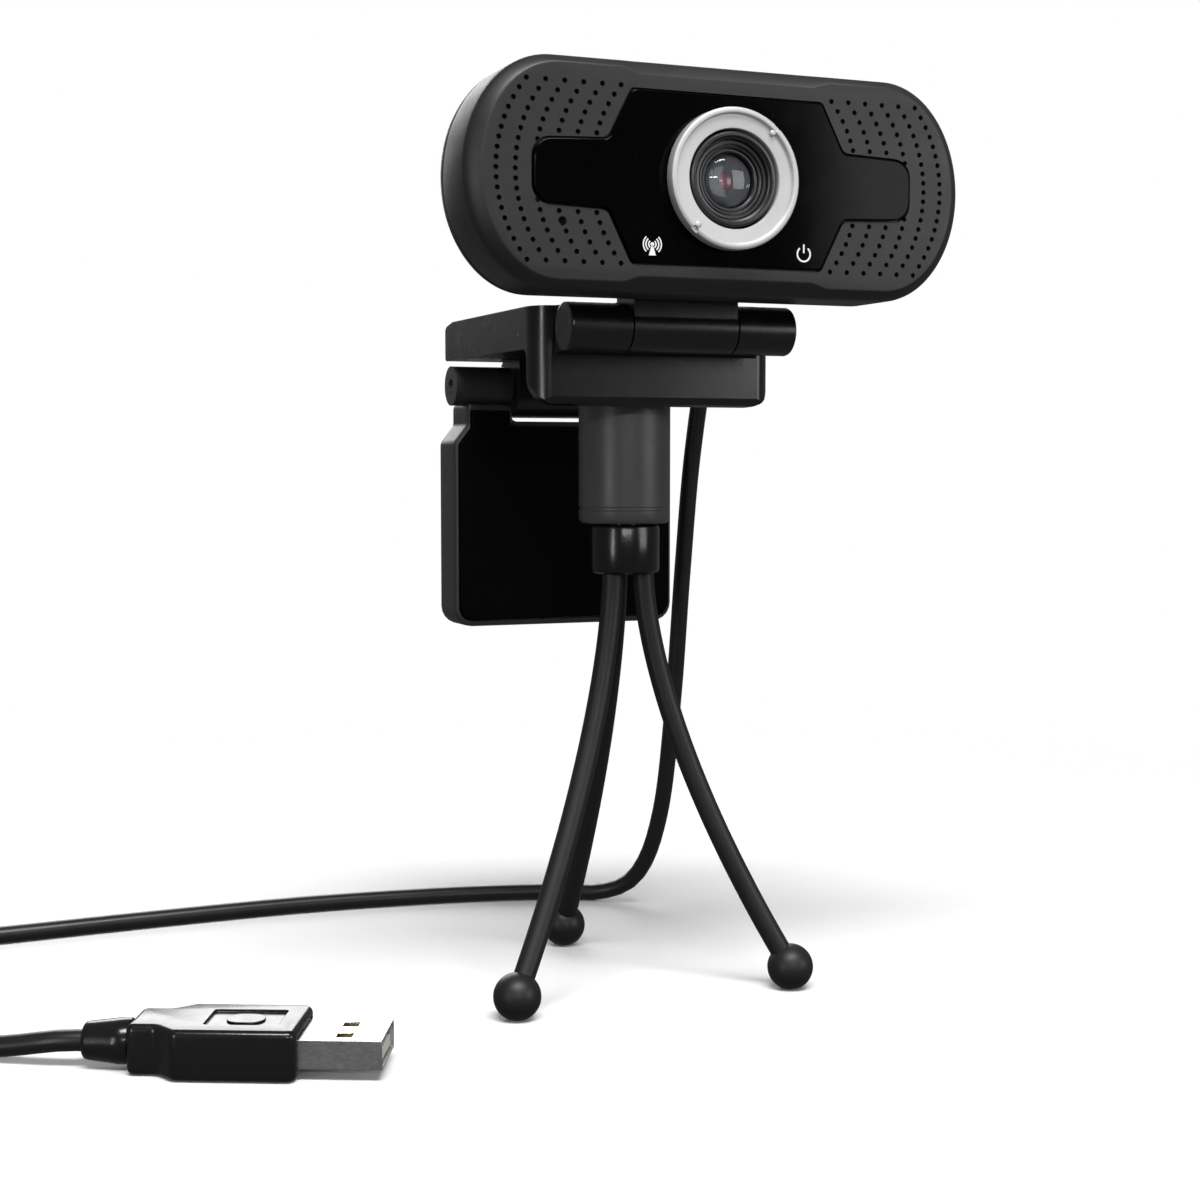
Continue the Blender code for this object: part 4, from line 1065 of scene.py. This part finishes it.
# The electronics: a green board on the rear shell's ribs, with the video chip, the sensor under the
# lens mount, the lead's white connector and a small electret microphone behind its hole.
board = Finish("board_mask", {"Coat Weight": 0.3})
tracks = board.node(
    "ShaderNodeTexBrick",
    {"offset": 0.37, "squash": 0.6},
    {"Vector": board.place(), "Scale": 260.0, "Mortar Size": 0.02},
    1,
)
mask_cloud = board.noise(0.003, 3.0)
BOARD_MASK = board.paint(
    {
        "Base Color": board.tint(tracks * 0.7 + mask_cloud * 0.3, (0.008, 0.075, 0.03), (0.02, 0.16, 0.07)),
        "Roughness": 0.34 + (mask_cloud - 0.5) * 0.2,
        "Normal": board.bump(tracks + mask_cloud * 0.3, 0.00003),
    }
)
keep(BOARD_MASK, 0.05, "main_board")
CHIP_RESIN = moulded("chip_resin", (0.012, 0.012, 0.013), (0.025, 0.025, 0.026), 0.5, 0.00015, 0.00001)
keep(CHIP_RESIN, 0.08, "image_sensor", "video_chip")
keep(NYLON, 0.15, "board_connector")
CAN_METAL = brushed("drawn_can", (0.5, 0.48, 0.43), (0.7, 0.68, 0.62), 0.34, (1.0, 0.2, 1.0))
keep(CAN_METAL, 0.15, "microphone")

# The tilt hinge and the clip: glossier black ABS. The neck's knuckle turns on a steel pin between the
# clip's two barrels, and the clip's arm carries the cover plate, the lip and the flap's bracket.
CLIP_ABS = moulded(
    "clip_abs",
    (0.0055, 0.0055, 0.006),
    (0.0105, 0.0105, 0.011),
    0.25,
    0.00018,
    0.000009,
    {"Specular IOR Level": 0.55},
)
keep(CLIP_ABS, 0.3, "neck", "clip_cover")
keep(CLIP_ABS, 0.35, "clip_body")
keep(STEEL_WIRE, 0.15, "tilt_pin", "flap_pin", "cover_screw_1", "cover_screw_2")
BRASS_BAR = brushed("brass_bar", (0.55, 0.38, 0.15), (0.78, 0.58, 0.28), 0.3, (1.0, 1.0, 0.2))
keep(BRASS_BAR, 0.1, "thread_insert")

# The flap: a duller ABS frame, shallow, that hangs on its own pin under the clip's bracket. A dull
# black sheet of soft rubber is glued into its face, and a strip of it is glued behind the clip's lip.
FLAP_ABS = moulded(
    "flap_abs",
    (0.024, 0.024, 0.0245),
    (0.036, 0.036, 0.0365),
    0.42,
    0.00022,
    0.000014,
    {"Specular IOR Level": 0.45},
)
keep(FLAP_ABS, 0.35, "flap_frame")
PAD_OUTLINE = rounded(
    [
        (21.3, -73.7),
        (21.3, -40.5),
        (18.9, -37.5),
        (18.9, -34.5),
        (11.5, -34.5),
        (11.5, -37.2),
        (-11.5, -37.2),
        (-11.5, -34.5),
        (-18.9, -34.5),
        (-18.9, -37.5),
        (-21.3, -40.5),
        (-21.3, -73.7),
    ],
    [2.3, 1.0, 0.5, 0.4, 0.4, 0.4, 0.4, 0.4, 0.4, 0.5, 1.0, 2.3],
)
flap_rubber = slab("flap_rubber", PAD_OUTLINE, 69.8, 71.4, facing)
soften(flap_rubber, 0.3, 3, 50.0)
DULL_RUBBER = moulded(
    "dull_rubber",
    (0.0006, 0.0006, 0.0006),
    (0.0018, 0.0018, 0.0018),
    0.85,
    0.0003,
    0.00003,
    {"Specular IOR Level": 0.06},
)
settle(flap_rubber, "flap", "pad_rubber", DULL_RUBBER, "flap_pad")
lip_rubber = block("lip_rubber", (0.0, 32.1, -30.4), (38.0, 1.0, 6.0))
soften(lip_rubber, 0.3, 3, 50.0)
settle(lip_rubber, "clip", "pad_rubber", DULL_RUBBER, "lip_pad")

# The mini tripod: a quarter-inch steel screw in a grey collar, a rubber washer under the clip, and a
# black moulded stem that takes the three legs.
TRIPOD_Y = 41.5
STEM_BOTTOM = -63.7
keep(STEEL_WIRE, 0.15, "tripod_screw")
keep(DULL_RUBBER, 0.15, "platform_pad")
collar_profile = [
    (3.5, -26.8),
    (7.5, -26.8),
    (7.95, -27.0),
    (8.15, -27.5),
    (8.15, -29.2),
    (8.0, -29.4),
    (8.0, -29.8),
    (8.15, -30.0),
    (8.15, -51.8),
    (8.0, -52.0),
    (8.0, -52.4),
    (8.15, -52.6),
    (8.15, -54.0),
    (7.95, -54.5),
    (7.5, -54.8),
    (3.3, -54.8),
    (3.3, -30.2),
    (3.5, -30.0),
]
TRIPOD_MIDDLE = at(0.0, TRIPOD_Y, 0.0)
collar = spun("tripod_collar_turned", TRIPOD_MIDDLE, (0, 0, 1), [(z, r) for r, z in collar_profile], 72)
COLLAR_GREY = moulded("collar_grey", (0.05, 0.05, 0.052), (0.085, 0.085, 0.088), 0.4, 0.0002, 0.000012)
settle(collar, "tripod", "tripod_grey", COLLAR_GREY, "tripod_collar")
stem_profile = [
    (0.0, -40.0),
    (3.0, -40.0),
    (3.0, -55.1),
    (5.7, -55.1),
    (6.1, -55.3),
    (6.25, -55.7),
    (6.25, -62.9),
    (6.1, -63.4),
    (5.65, STEM_BOTTOM),
    (0.0, STEM_BOTTOM),
]
stem = spun("tripod_stem_turned", TRIPOD_MIDDLE, (0, 0, 1), [(z, r) for r, z in stem_profile], 64, False)
LEG_REACH = 26.6
SOCKET_OFFSET = 3.4
SOCKET_RADIUS = 2.2
FOOT_RADIUS = 4.1
FOOT_FLAT = 0.2
FOOT_DROP = HEAD_HEIGHT_OVER_TABLE + STEM_BOTTOM - FOOT_RADIUS + FOOT_FLAT
LEG_TURNS = [math.radians(turn) for turn in (210.0, 330.0, 90.0)]
LEG_WAYS = [Vector((math.cos(turn), math.sin(turn), 0.0)) for turn in LEG_TURNS]
LEG_ROOTS = [at(0.0, TRIPOD_Y, STEM_BOTTOM) + way * SOCKET_OFFSET * MM for way in LEG_WAYS]
sockets = [disc("socket", SOCKET_RADIUS, root, (0, 0, 1), 8.0) for root in LEG_ROOTS]
carve(stem, sockets)
soften(stem, 0.12, 2, 50.0)
settle(stem, "tripod", "plug_black", PLUG_PVC, "tripod_stem")

# The legs: steel wire cores in a smooth rubber sleeve, bent outwards, each ending in a round rubber
# foot that is slightly flattened where it stands.
SLEEVE_RADIUS = 1.9
SLEEVE_STEPS = 48
SLEEVE_TOP = 0.1
LEG_CURVE = 1.6
LEG_RUBBER = moulded(
    "leg_rubber",
    (0.007, 0.007, 0.0075),
    (0.014, 0.014, 0.0145),
    0.45,
    0.0003,
    0.000014,
    {"Specular IOR Level": 0.4},
)
LEG_BODIES = ("leg_left", "leg_right", "leg_rear")
for number, (way, root, body) in enumerate(zip(LEG_WAYS, LEG_ROOTS, LEG_BODIES), 1):
    foot_middle = root + way * LEG_REACH * MM - Vector((0.0, 0.0, FOOT_DROP)) * MM
    line = []
    for step in range(SLEEVE_STEPS + 1):
        share = step / SLEEVE_STEPS
        drop = SLEEVE_TOP + (FOOT_DROP - SLEEVE_TOP) * share
        line.append(root + way * LEG_REACH * share**LEG_CURVE * MM - Vector((0.0, 0.0, drop)) * MM)
    line = [spot for spot in line if (spot - foot_middle).length > (FOOT_RADIUS - 0.7) * MM]
    leg = tube(f"leg_sleeve_{number}", line, SLEEVE_RADIUS * MM, 24)
    settle(leg, body, "leg_rubber", LEG_RUBBER, f"leg_{number}")
    foot_turns = [math.radians(turn) for turn in range(0, 163, 6)]
    ball = [(FOOT_RADIUS * math.cos(turn), FOOT_RADIUS * math.sin(turn)) for turn in foot_turns]
    ball += [(-FOOT_RADIUS + FOOT_FLAT, 1.15), (-FOOT_RADIUS + FOOT_FLAT, 0.0)]
    foot = spun(f"round_foot_{number}", foot_middle, (0, 0, 1), ball, 48, False)
    settle(foot, body, "leg_rubber", LEG_RUBBER, f"foot_{number}")
    keep(STEEL_WIRE, 0.1, f"leg_wire_{number}")
